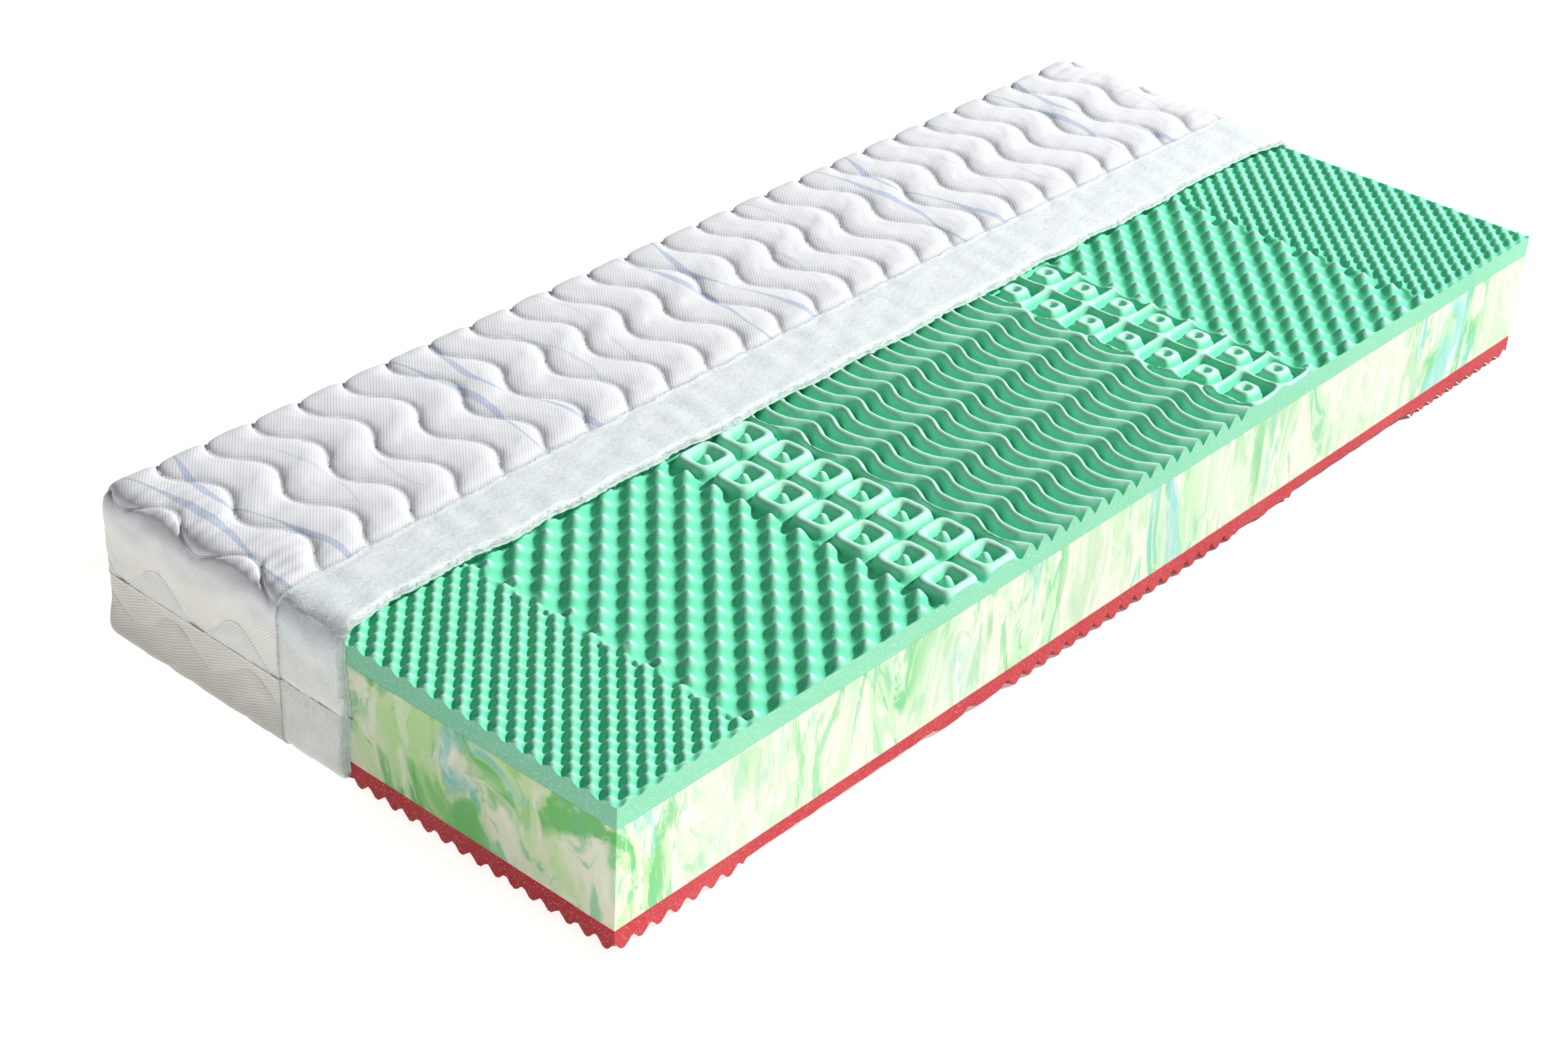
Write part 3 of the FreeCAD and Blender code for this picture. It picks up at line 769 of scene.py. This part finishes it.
class Net:
    """Cloth laid over one half of the mattress: a flat panel with three flaps, joined at the
    upright corners. Cloth coordinates are (u, v): u runs along the length, v towards the
    back."""

    def __init__(self, panel_z, rim_z, radius, end_line, end_swing, phase_y, turn):
        self.up = 1 if panel_z > rim_z else -1
        self.panel_z = panel_z
        self.drop = abs(panel_z - rim_z)
        self.radius = radius
        self.half = FABRIC_HIGH.x
        self.back = FABRIC_HIGH.y
        self.phase_y = phase_y
        self.turn = turn
        self.end_swing = end_swing
        first, last = LAST_LINE
        lines = np.arange(first + 1, last)
        beyond = (self.drop - end_line) / (end_line + self.half - EDGE_LINE)
        outer_u = np.array([EDGE_LINE, self.half + end_line, self.half + self.drop])
        self.knots_s = np.concatenate([[first - 1 - beyond, first - 1, first], lines,
                                       [last, last + 1, last + 1 + beyond]])
        self.knots_u = np.concatenate([-outer_u[::-1], QUILT_START + QUILT_PITCH * lines, outer_u])
        per_pitch = 12
        self.flap = np.concatenate([
            np.linspace(0, end_line, round(end_line / QUILT_PITCH * per_pitch) + 1),
            np.linspace(end_line, self.drop, 4)[1:]])
        inner = np.arange(first * per_pitch, last * per_pitch + 1) / per_pitch
        near_edge, far_edge = np.interp((-self.half, self.half), self.knots_u, self.knots_s)
        top = np.concatenate([[near_edge, (near_edge + inner[0]) / 2], inner,
                              [(far_edge + inner[-1]) / 2, far_edge]])
        far = np.interp(self.half + self.flap[1:], self.knots_u, self.knots_s)
        near = np.interp(-self.half - self.flap[:0:-1], self.knots_u, self.knots_s)
        self.s = np.concatenate([near, top, far])
        self.corner = (len(near), len(near) + len(top) - 1)
        count = round((self.back - FABRIC_LOW.y) / QUILT_PITCH * per_pitch)
        self.row_share = np.linspace(0, 1, count + 1)

    def swing(self, v):
        """How far the quilting lines stand off their mean place."""
        return self.turn * np.cos(TAU * (v - self.phase_y) / QUILT_PERIOD)

    def layout(self):
        """Quilting-line numbers and cloth coordinates of all grid points, and vertex numbers."""
        s = self.s[:, None] + np.zeros(len(self.row_share) + len(self.flap) - 1)
        u = np.interp(s, self.knots_s, self.knots_u)
        front = fabric_front(u[:, :1])
        v_top = front + (self.back - front) * self.row_share
        v_flap = np.broadcast_to(self.back + self.flap[1:], (len(self.s), len(self.flap) - 1))
        v = np.concatenate([v_top, v_flap], 1)
        swing = np.interp(np.abs(u), (0.907, EDGE_LINE), (0.0173, self.end_swing))
        end = self.half + self.drop
        at_rim = 1 - smooth_step(np.abs(u), end - 0.022, end)
        outside = smooth_step(np.abs(u), 0.93, 1.0) * smooth_step(v, self.back - 0.05, self.back)
        u = u + self.swing(v) * swing * at_rim * (1 - outside)
        index = np.arange(u.size).reshape(u.shape)
        first, last = self.corner
        row = len(self.row_share) - 1
        index[:first, row + 1:] = -1
        index[last + 1:, row + 1:] = -1
        index[first, row + 1:] = index[:first, row][::-1]
        index[last, row + 1:] = index[last + 1:, row]
        return s, u, v, index

    def rounding(self, u, v):
        """Radius of the rounded edges. Near the seam both halves share one."""
        down = np.maximum(np.abs(u) - self.half, v - self.back)
        return self.radius + (SEAM_RADIUS - self.radius) * smooth_step(down, 0.015, 0.065)

    def surface(self, u, v, radius, inset=(0.0, 0.0, 0.0)):
        """Places and outward directions on the rounded half box, for cloth coordinates."""
        over_x = np.maximum(np.abs(u) - self.half, 0)
        over_y = np.maximum(v - self.back, 0)
        sharp = np.stack([np.clip(u, -self.half, self.half), np.minimum(v, self.back),
                          self.panel_z - self.up * (over_x + over_y)], -1)
        reach = np.array([self.half - inset[0], self.back - inset[1],
                          self.panel_z - self.up * inset[2]])
        sharp[..., 0] = np.clip(sharp[..., 0], -reach[0], reach[0])
        sharp[..., 1] = np.minimum(sharp[..., 1], reach[1])
        if self.up > 0:
            sharp[..., 2] = np.minimum(sharp[..., 2], reach[2])
            core_z = np.minimum(sharp[..., 2], reach[2] - radius)
        else:
            sharp[..., 2] = np.maximum(sharp[..., 2], reach[2])
            core_z = np.maximum(sharp[..., 2], reach[2] + radius)
        core = np.stack([np.clip(sharp[..., 0], radius - reach[0], reach[0] - radius),
                         np.minimum(sharp[..., 1], reach[1] - radius), core_z], -1)
        away = sharp - core
        length = np.linalg.norm(away, axis=-1, keepdims=True)
        away = away / np.maximum(length, 1e-9)
        return core + away * np.asarray(radius)[..., None], away


def gather_faces(index):
    """Quads of a net whose upright corners share their vertices, and how vertices are numbered."""
    quads = np.array(grid_faces(index))
    used, compact = np.unique(quads, return_inverse=True)
    return used, compact.reshape(quads.shape)


def border_edges(faces):
    """Directed edges that belong to one face only."""
    starts = faces.ravel()
    ends = np.roll(faces, -1, 1).ravel()
    size = faces.max() + 1
    key = starts * size + ends
    back = ends * size + starts
    lonely = ~np.isin(back, key)
    return np.stack([starts[lonely], ends[lonely]], -1)


def shell(name, outer, inner, faces, material):
    """A closed skin between two surfaces with the same faces."""
    count = len(outer)
    edges = border_edges(faces)
    sides = np.stack([edges[:, 1], edges[:, 0], edges[:, 0] + count, edges[:, 1] + count], -1)
    everything = np.concatenate([faces, faces[:, ::-1] + count, sides])
    piece = new_object(name, np.concatenate([outer, inner]), everything.tolist(), material)
    rim = np.unique(edges)
    mark_sharp(piece, np.concatenate([rim, rim + count]))
    return piece


def work_object(points, faces):
    """A throwaway object for a modifier to work on."""
    mesh = bpy.data.meshes.new("work")
    mesh.from_pydata(points.tolist(), [], faces.tolist())
    work = bpy.data.objects.new("work", mesh)
    bpy.context.scene.collection.objects.link(work)
    return work


def worked(work):
    """The throwaway object's points and quads after its modifier; the object is then removed."""
    result = work.evaluated_get(bpy.context.evaluated_depsgraph_get())
    done = result.to_mesh()
    out = np.empty(len(done.vertices) * 3, np.float32)
    done.vertices.foreach_get("co", out)
    corners = np.empty(len(done.loops), np.int32)
    done.loops.foreach_get("vertex_index", corners)
    result.to_mesh_clear()
    mesh = work.data
    bpy.data.objects.remove(work)
    bpy.data.meshes.remove(mesh)
    return out.reshape(-1, 3).astype(float), corners.reshape(-1, 4).astype(np.int64)


def subdivided(points, faces, creases):
    """Points and faces after one smooth subdivision, sharp along the creased edges."""
    work = work_object(points, faces)
    crease = work.data.attributes.new("crease_edge", "FLOAT", "EDGE")
    flags = edges_within(work.data, np.flatnonzero(creases))
    crease.data.foreach_set("value", flags.astype(np.float32))
    work.modifiers.new("smooth", "SUBSURF").levels = 1
    return worked(work)


def vertex_normals(points, faces):
    """Unit normals, averaged over the faces round each point."""
    a, b, c, d = (points[faces[:, i]] for i in range(4))
    face = np.cross(c - a, d - b)
    total = np.zeros_like(points)
    for i in range(4):
        np.add.at(total, faces[:, i], face)
    return unit(total)


def inflate(points, faces, pinned, frames, pressure, grow):
    """Blender's cloth, blown up between the points where it is held."""
    cloth = work_object(points, faces)
    group = cloth.vertex_groups.new(name="held")
    group.add(np.flatnonzero(pinned).tolist(), 1.0, "REPLACE")
    modifier = cloth.modifiers.new("cloth", "CLOTH")
    how = dict(quality=5, mass=0.15, tension_stiffness=25, compression_stiffness=25,
               shear_stiffness=10, bending_stiffness=0.02, air_damping=2,
               vertex_group_mass="held", use_pressure=True,
               uniform_pressure_force=pressure, shrink_min=-grow, shrink_max=-grow)
    for key, value in how.items():
        setattr(modifier.settings, key, value)
    modifier.settings.effector_weights.gravity = 0
    modifier.collision_settings.use_collision = False
    modifier.point_cache.frame_start = 1
    modifier.point_cache.frame_end = frames
    scene = bpy.context.scene
    for moment in range(1, frames + 1):
        scene.frame_set(moment)
    blown, _ = worked(cloth)
    scene.frame_set(1)
    return blown


def fabric_front(u):
    """Where the outer fabric is cut, nearer the front at the near end, with small scallops."""
    line = np.interp(u, (-1.12, -1.0, -0.5, 0.3, 1.0), (0.100, 0.098, 0.110, 0.117, 0.108))
    return line + 0.0015 * np.cos(TAU * (u - QUILT_START) / QUILT_PITCH) * (np.abs(u) < 1)


def wadding_front(u):
    """The wadding's torn front edge."""
    line = np.interp(np.abs(u), (0.9, 1.0, 1.12), (0.008, -0.004, -0.012))
    return (line + 0.004 * lattice_noise(u, 0 * u, 0.11, 21)
            + 0.0012 * lattice_noise(u, 0 * u, 0.02, 22))


def zip_mouth(net, place, to_rim, x):
    """Folds the fabric's edge in along the zip."""
    open_here = 1 - smooth_step(np.abs(x), 0.938, 0.946)
    place[..., 2] += net.up * open_here * 0.006 * np.clip(1 - to_rim / 0.012, 0, 1)
    place[..., 1] -= open_here * 0.0045 * (to_rim < 1e-6)
    return place


def quilted_skin(net, rise, floor_depth, pressure):
    """The outer fabric's coarse net after inflation, with its faces and stitch-line flags."""
    s, u, v, index = net.layout()
    base, away = net.surface(u, v, net.rounding(u, v))
    nearest = np.abs(s - np.round(s))
    first, last = net.knots_s[0], net.knots_s[-1]
    past = np.minimum(s - first, last - s)
    strip = net.knots_s[1] - net.knots_s[0]
    share = np.where(past < strip, np.minimum(past, strip - past), nearest)
    on_line = (nearest < 1e-6)
    at_rim = (past < 1e-6) | (v > net.back + net.drop - 1e-6)
    at_front = np.zeros_like(on_line)
    at_front[:, 0] = True
    from_front = v - v[:, :1]
    puff = np.sqrt(np.clip(1 - (1 - 2 * np.clip(share, 0, 0.5)) ** 3.0, 0, 1))
    roll = smooth_step(from_front, -0.002, 0.020)
    side = smooth_step(np.abs(u), 0.965, 1.02) + smooth_step(v, net.back - 0.01, net.back + 0.03)
    amount = rise * (1 - 0.80 * np.clip(side, 0, 1))
    depth = floor_depth + (0.0011 - floor_depth) * np.clip(side, 0, 1)
    height = -depth * (1 - 0.6 * at_front) + amount * puff * (0.35 + 0.65 * roll)
    to_end = net.half + net.drop - np.abs(u)
    to_back = net.back + net.drop - v
    ease = smooth_step(np.minimum(to_end, to_back), 0.0, 0.02)
    height = height * ease - 0.0009 * (1 - ease)
    place = base + away * height[..., None]
    place = zip_mouth(net, place, to_back, base[..., 0])
    used, faces = gather_faces(index)
    points = place.reshape(-1, 3)[used]
    if net.up < 0:
        faces = faces[:, ::-1]
    hold = (on_line | at_rim | at_front).ravel()[used]
    if pressure:
        moved = inflate(points, faces, hold, CLOTH_FRAMES, pressure, CLOTH_GROW) - points
        size = np.linalg.norm(moved, axis=1, keepdims=True)
        points = points + moved * np.minimum(1, 0.012 / np.maximum(size, 1e-9))
    if net.up < 0:
        points[:, 2] = np.maximum(points[:, 2], 0.0002)
    return points, faces, used, (s, u, v, index), (on_line | at_front).ravel()[used]


def outer_fabric(name, node, net, rise, floor_depth, pressure, material):
    """One half of the quilted outer fabric, and what the wadding needs to follow it."""
    points, faces, used, layout, creased = quilted_skin(net, rise, floor_depth, pressure)
    s, u, v, _ = layout
    flat = np.stack([u.ravel()[used], v.ravel()[used], s.ravel()[used]], -1)
    fine, fine_faces = subdivided(points, faces, creased)
    fine_flat, _ = subdivided(flat, faces, creased)
    nearest = np.abs(fine_flat[:, 2] - np.round(fine_flat[:, 2]))
    normal = vertex_normals(fine, fine_faces)
    pucker = np.exp(-nearest / 0.10) * lattice_noise(fine_flat[:, 0] * 0.3, fine_flat[:, 1],
                                                     0.011, 31)
    wrinkle = lattice_noise(fine_flat[:, 0], fine_flat[:, 1], 0.05, 32)
    out = np.abs(fine_flat[:, 0])
    gathered = smooth_step(out, 0.86, 0.97) * (1 - 0.6 * smooth_step(out, 1.06, 1.12))
    folds = lattice_noise(fine_flat[:, 0] * 0.12, fine_flat[:, 1], 0.026, 33)
    folds = np.abs(folds) ** 0.8 * np.sign(folds) * smooth_step(nearest, 0.0, 0.10)
    lift = 0.0006 * pucker * smooth_step(nearest, 0.0, 0.03) + 0.0004 * wrinkle
    fine = fine + normal * (lift + 0.0011 * folds * gathered * (net.up > 0))[:, None]
    if net.up < 0:
        fine[:, 2] = np.maximum(fine[:, 2], 0.0)
    normal = vertex_normals(fine, fine_faces)
    piece = shell(name, fine, fine - normal * FABRIC_THICKNESS, fine_faces, material)
    layer = piece.data.attributes.new("cloth", "FLOAT_VECTOR", "POINT")
    both = np.tile(fine_flat * (1, 1, 0), (2, 1)).astype(np.float32)
    layer.data.foreach_set("vector", both.ravel())
    settle(piece, "cover", "cover_knit", node)
    return points, faces, used, layout


def wadding_half(name, node, net, skin, inset, inner_radius, material):
    """Wadding that fills the cover from the fabric's underside to the lining, bare in front."""
    points, faces, used, (s, u, v, index) = skin
    normal = vertex_normals(points, faces)
    under = np.zeros((u.size, 3))
    under[used] = points - normal * 0.0016
    under = under[np.maximum(index, 0).ravel()].reshape(*u.shape, 3)
    bare = 26
    share = np.linspace(0, 1, bare + 1)[:-1]
    front = wadding_front(u[:, :1])
    bare_v = front + (v[:, :1] - front) * share
    bare_u = np.broadcast_to(u[:, :1], bare_v.shape)
    radius = net.rounding(bare_u, bare_v)
    if net.up > 0:
        radius = radius + 0.008 * (1 - share)
    base, away = net.surface(bare_u, bare_v, radius, (0.0014, 0.0014, 0.0014))
    lumps = (0.0010 * lattice_noise(bare_u, bare_v, 0.06, 41)
             + 0.0005 * lattice_noise(bare_u, bare_v, 0.014, 42))
    to_cut = v[:, :1] - bare_v
    dip = -0.0022 * np.exp(-to_cut / 0.006)
    inwards = np.clip((bare_v - front) / 0.007, 0, 1)
    round_off = -0.0045 * (1 - np.sqrt(np.clip(1 - (1 - inwards) ** 2, 0, 1)))
    outer_bare = base + away * (lumps + dip + round_off)[..., None]
    if net.up < 0:
        outer_bare[..., 2] = np.maximum(outer_bare[..., 2], 0.0012)
    to_seam = net.half + net.drop - np.abs(bare_u)
    tuck = 0.0032 * np.clip(1 - to_seam / 0.009, 0, 1) ** 2
    outer_bare = outer_bare - away * tuck[..., None]
    outer = np.concatenate([outer_bare, under], 1)
    all_u = np.concatenate([bare_u, u], 1)
    all_v = np.concatenate([bare_v, v], 1)
    inner, _ = net.surface(all_u, all_v, inner_radius, inset)
    grid = np.arange(outer[..., 0].size).reshape(outer.shape[:2])
    numbers = grid.copy()
    shifted = np.where(index >= 0, (index // u.shape[1]) * grid.shape[1]
                       + index % u.shape[1] + bare, -1)
    numbers[:, bare:] = shifted
    open_here = 1 - smooth_step(np.abs(outer[..., 0]), 0.938, 0.946)
    low = (np.abs(all_v - (net.back + net.drop)) < 0.013) & (all_v > net.back)
    at_zip = outer[..., 1] * (1 - open_here) + ZIP_EDGE_Y * open_here
    outer[..., 1] = np.where(low, at_zip, outer[..., 1])
    rim = np.maximum(all_v - net.back, np.abs(all_u) - net.half) > net.drop - 1e-6
    for layer in (outer, inner):
        layer[..., 2] = np.where(rim, SEAM_Z + net.up * 0.0004, layer[..., 2])
    keep, wad_faces = gather_faces(numbers)
    if net.up < 0:
        wad_faces = wad_faces[:, ::-1]
    piece = shell(name, outer.reshape(-1, 3)[keep], inner.reshape(-1, 3)[keep], wad_faces, material)
    edge = np.exp(-(all_v - wadding_front(all_u)) / 0.006) * (all_v < 0.09)
    paint(piece, "edge", np.tile(edge.ravel()[keep], 2))
    return settle(piece, "cover", "wadding", node)


def lining(name, node, net, inset, radius, material):
    """Thin fleece that lines one half of the cover and shows beyond the wadding's front edge."""
    _, u, v, index = net.layout()
    front = wadding_front(u[:, :1]) - 0.0045
    front = front + 0.0016 * lattice_noise(u[:, :1], 0 * u[:, :1], 0.012, 52)
    share = (v - v[:, :1]) / (net.back - v[:, :1])
    v = np.where(v <= net.back, front + (net.back - front) * share, v)
    outer, away = net.surface(u, v, radius, inset)
    inner = outer - away * 0.0005
    used, faces = gather_faces(index)
    if net.up < 0:
        faces = faces[:, ::-1]
    piece = shell(name, outer.reshape(-1, 3)[used], inner.reshape(-1, 3)[used], faces, material)
    return settle(piece, "cover", "fleece", node)


def tube(path, radius, sides):
    """Points and faces of a tube along a path; the radius may differ from point to point."""
    along = unit(np.gradient(path, axis=0))
    side = unit(np.cross(along, (0.31, 0.17, 0.93)))
    other = np.cross(along, side)
    angle = TAU * np.arange(sides) / sides
    size = np.broadcast_to(radius, len(path))[:, None, None]
    ring = side[:, None] * np.cos(angle)[:, None] + other[:, None] * np.sin(angle)[:, None]
    return (path[:, None] + ring * size).reshape(-1, 3), ring_faces(len(path), sides)


def stitches(name, lines, length, gap, radius, material, body, slot_name):
    """Short thread stitches along each line of points."""
    points, faces, first = [], [], 0
    for line in lines:
        steps = np.concatenate([[0], np.cumsum(np.linalg.norm(np.diff(line, axis=0), axis=1))])
        for start in np.arange(gap, steps[-1] - length, length + gap):
            at = start + length * np.array([0.0, 0.08, 0.5, 0.92, 1.0])
            path = np.stack([np.interp(at, steps, line[:, i]) for i in range(3)], -1)
            some, their = tube(path, radius * np.array([0.35, 0.9, 1.0, 0.9, 0.35]), 5)
            points.append(some)
            faces += [[first + i for i in face] for face in their]
            first += len(some)
    return settle(new_object(name, np.concatenate(points), faces, material), body, slot_name)


def numbered(skin):
    """Where each point of a half's layout stands among its skin's points, or -1."""
    _, _, used, (_, u, _, _) = skin
    where = np.full(u.size, -1)
    where[used] = np.arange(len(used))
    return where


def quilting_lines(net, skin, lift):
    """Points along every quilting line of a half, just proud of the crease."""
    points, faces, _, (_, _, _, index) = skin
    normal = vertex_normals(points, faces)
    where = numbered(skin)
    lines = []
    for column in np.flatnonzero(np.abs(net.s - np.round(net.s)) < 1e-6):
        numbers = index[column]
        numbers = where[numbers[numbers >= 0]]
        lines.append(points[numbers] + normal[numbers] * lift)
    return lines


def seam_piping(name, node, material):
    """The end seam: a twisted piping from the front cut, along the end and round the corner."""
    low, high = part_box(node)
    side = 1 if low.x > 0 else -1
    out = FABRIC_HIGH.x - 0.0015
    back = FABRIC_HIGH.y - 0.0015
    bend = SEAM_RADIUS - 0.0015
    step = 0.0008
    y = np.arange(low.y - 0.006, back - bend, step)
    turn = np.linspace(0, math.pi / 2, 50)
    x = np.arange(out - bend, min(abs(low.x), abs(high.x)), -step)
    path = np.concatenate([
        np.stack([np.full(len(y), out), y], -1),
        np.stack([out - bend + bend * np.cos(turn), back - bend + bend * np.sin(turn)], -1)[1:],
        np.stack([x, np.full(len(x), back)], -1)[1:]])
    path = np.column_stack([path[:, 0] * side, path[:, 1], np.full(len(path), SEAM_Z)])
    twist = 0.00015 * np.sin(TAU * np.arange(len(path)) * step / 0.0032)
    piece = new_object(name, *tube(path, 0.0016 + twist, 10), material)
    return settle(piece, "cover", "seam_tape", node)


def zip_tapes():
    """The two woven tapes with a slightly thicker bead along the coil side."""
    weave = woven_tape("zip_tape", (0.70, 0.72, 0.74), (0.86, 0.87, 0.88), 0.0011)
    for node in ("zip_tape_upper", "zip_tape_lower"):
        low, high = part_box(node)
        x = np.linspace(low.x, high.x, 400)
        share = np.linspace(0, 1, 9)
        near_coil = share if node.endswith("upper") else 1 - share
        thick = (high.y - low.y) * (0.55 + 0.45 * np.exp(-near_coil / 0.12))
        z = low.z + (high.z - low.z) * share
        wave = 0.00008 * np.sin(TAU * x / 0.031)
        outer, inner = (np.stack(np.broadcast_arrays(x[:, None], high.y - depth + wave[:, None], z),
                                 -1).reshape(-1, 3) for depth in (0.0001, thick))
        _, faces = gather_faces(np.arange(len(x) * len(z)).reshape(len(x), len(z)))
        piece = shell(node + "_woven", outer, inner, faces[:, ::-1], weave)
        settle(piece, "cover", "zip_tape", node)


def zip_coils():
    """Two nylon coils whose loops reach towards each other, half a turn apart."""
    nylon = coil_plastic()
    pitch = 0.0016
    for node, up, shift in (("zip_coil_upper", 1, 0.0), ("zip_coil_lower", -1, 0.5)):
        low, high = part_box(node)
        middle_y = (low.y + high.y) / 2
        tip = SEAM_Z + up * 0.0003
        root = high.z if up > 0 else low.z
        turns = int((high.x - low.x) / pitch) - 1
        at = np.arange(turns * 10 + 1) / 10
        angle = TAU * (at + shift)
        x = low.x + 0.001 + pitch * (at + shift) + 0.00025 * np.sin(angle)
        half = abs(root - tip) / 2 - 0.00035
        z = (root + tip) / 2 + half * np.cos(angle)
        y = middle_y + ((high.y - low.y) / 2 - 0.00035) * np.sin(angle)
        piece = new_object(node + "_loops", *tube(np.stack([x, y, z], -1), 0.00034, 5), nylon)
        settle(piece, "cover", "zip_coil", node)


def zip_hardware():
    """The stops as pressed clamps, and the slider and puller in worn white paint."""
    metal = zip_metal()
    for node in ("zip_stop_near", "zip_stop_far"):
        low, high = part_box(node)
        middle, half = (low + high) / 2, (high - low) / 2
        turn = np.linspace(0, TAU, 25)[:-1]
        circle = np.stack([np.cos(turn), np.sin(turn)], -1)
        corner = np.sign(circle) * np.abs(circle) ** 0.35
        levels = ((-1, 0.86), (-0.8, 1), (-0.34, 1), (-0.22, 0.90), (0.22, 0.90), (0.34, 1), (0.8, 1),
                  (1, 0.86))
        rings = [np.column_stack([middle.x + half.x * size * corner[:, 0],
                                  middle.y + half.y * size * corner[:, 1],
                                  np.full(24, middle.z + half.z * level)]) for level, size in levels]
        faces = ring_faces(len(levels), 24, flip=True)
        piece = new_object(node + "_clamp", np.concatenate(rings), faces, metal)
        settle(piece, "cover", "zip_metal", node)
    for node in ("zip_slider", "zip_puller"):
        part = bpy.data.objects[node]
        part.data.materials.clear()
        part.data.materials.append(metal)


def strands(name, roots, ways, lengths, radius, seed, material, slot_name, droop=0.3):
    """Loose fibres: thin tapered tubes that leave their roots and bend at random."""
    rng = np.random.default_rng(seed)
    count = len(roots)
    bend = rng.normal(0, 0.35, (count, 3)) - np.array([0, 0, droop])
    share = np.array([0, 0.35, 0.7, 1.0])
    path = roots[:, None] + ways[:, None] * (lengths[:, None] * share)[..., None]
    path = path + bend[:, None] * (lengths[:, None] * share ** 2)[..., None] * 0.5
    side = unit(np.cross(ways, rng.normal(0, 1, (count, 3))))
    other = np.cross(ways, side)
    angle = TAU * np.arange(3) / 3
    ring = side[:, None] * np.cos(angle)[:, None] + other[:, None] * np.sin(angle)[:, None]
    size = radius * np.array([1.0, 0.9, 0.7, 0.2])
    points = (path[:, :, None] + ring[:, None] * size[:, None, None]).reshape(-1, 3)
    quads = np.array(ring_faces(4, 3)[:-2])
    first = 12 * np.arange(count)
    faces = (quads[None] + first[:, None, None]).reshape(-1, 4).tolist()
    ends = np.concatenate([first[:, None] + [2, 1, 0], first[:, None] + [9, 10, 11]])
    piece = new_object(name, points, faces + ends.tolist(), material)
    return settle(piece, "cover", slot_name)


def cover_fibres(nets, skins, fill, knit):
    """Fibres along the wadding's torn edge and over its bare face, and the fabric's frayed cut."""
    for label, net, skin, seed in zip(("upper", "lower"), nets, skins, (61, 71)):
        rng = np.random.default_rng(seed)
        upper = net.up > 0

        def spread(count):
            """Random places along the half, or along its ends alone in the lower half."""
            reach = net.half + net.drop
            u = rng.uniform(-reach, reach, count)
            return u if upper else np.sign(u) * rng.uniform(net.half, reach, count)

        count = 9000 if upper else 1400
        u = spread(count)
        v = wadding_front(u) + np.abs(rng.normal(0, 0.006, count))
        base, away = net.surface(u, v, net.radius, (0.0030, 0.0030, 0.0030))
        ways = np.array([0, -1.0, 0]) + away * rng.uniform(-0.5, 0.6, (count, 1))
        ways = unit(ways + rng.normal(0, 0.45, (count, 3)))
        base = base - away * rng.uniform(0, 0.004, (count, 1))
        strands(label + "_wadding_edge_fibres", base, ways, rng.uniform(0.003, 0.010, count),
                0.00016, seed + 1, fill, "wadding")
        count = 9000 if upper else 1500
        u = spread(count)
        v = wadding_front(u) + (fabric_front(u) - wadding_front(u)) * rng.uniform(0, 1, count)
        base, away = net.surface(u, v, net.radius, (0.0016, 0.0016, 0.0016))
        ways = unit(away * 0.35 + rng.normal(0, 1.0, (count, 3)))
        strands(label + "_wadding_fibres", base, ways, rng.uniform(0.002, 0.006, count), 0.00013,
                seed + 2, fill, "wadding", 0.0)
        index = skin[3][3]
        rim = skin[0][numbered(skin)[index[:, 0]]]
        count = 5200 if upper else 1800
        at = rng.uniform(0, len(rim) - 1, count)
        root = np.stack([np.interp(at, np.arange(len(rim)), rim[:, i]) for i in range(3)], -1)
        keep = root[:, 2] > (0 if upper else 0.012)
        ways = unit(np.array([0, -1.0, 0.1]) + rng.normal(0, 0.7, (count, 3)))
        strands(label + "_frayed_edge", root[keep] - (0, -0.0008, 0.0004), ways[keep],
                rng.uniform(0.0012, 0.0034, count)[keep], 0.00020, seed + 3, knit, "cover_knit")


def cover():
    """All the cover's pieces."""
    knit = cover_knit()
    border = border_knit()
    fill = wadding()
    lining_cloth = fleece()
    upper = Net(FABRIC_HIGH.z, FABRIC_LOW.z, radius=0.030, end_line=0.100, end_swing=0.024,
                phase_y=0.326, turn=1.0)
    lower = Net(LOWER_FABRIC_LOW.z, LOWER_FABRIC_HIGH.z, radius=0.018, end_line=0.066,
                end_swing=0.0195, phase_y=0.300, turn=-1.0)
    # Name, net, (rise, depth of the stitches, pressure, material), then the wadding's depth
    # and corner radius, and the gap between wadding and lining.
    halves = (("upper", upper, (0.0066, STITCH_DEPTH, 0.7, knit), 0.0078, 0.018, 0.0003),
              ("lower", lower, (0.0045, 0.0009, 0.5, border), 0.0050, 0.010, 0.0002))
    skins = [outer_fabric(label + "_cover_quilt", label + "_cover_fabric", net, *how)
             for label, net, how, _, _, _ in halves]
    for (label, net, _, depth, radius, _), skin in zip(halves, skins):
        wadding_half(label + "_wadding_fill", label + "_wadding", net, skin,
                     (WADDING_INSET, WADDING_INSET, depth), radius, fill)
    for label, net, _, depth, radius, gap in halves:
        lining(label + "_lining_fleece", label + "_backing_fleece", net,
               (LINING_INSET, LINING_INSET, depth + gap), radius - 0.0003, lining_cloth)
    lines = [line for net, skin in zip((upper, lower), skins)
             for line in quilting_lines(net, skin, 0.0003)]
    stitches("quilting_thread", lines, 0.0040, 0.0012, 0.00035, thread(), "cover", "cover_knit")
    cover_fibres((upper, lower), skins, loose_fibre(), thread())
    piping = thread("piping")
    for node in ("end_seam_near", "end_seam_far"):
        seam_piping(node + "_piping", node, piping)
    zip_tapes()
    zip_coils()
    zip_hardware()


# ------------------------------------------------------------------ build
add_camera()
add_lights()
comfort_layer()
base_layer()
core_blocks()
cover()

floor = new_object("floor", [(x * FLOOR_REACH, y * FLOOR_REACH, FLOOR_Z)
                             for x, y in ((-1, -1), (1, -1), (1, 1), (-1, 1))],
                   [(0, 1, 2, 3)], floor_paper(), False)
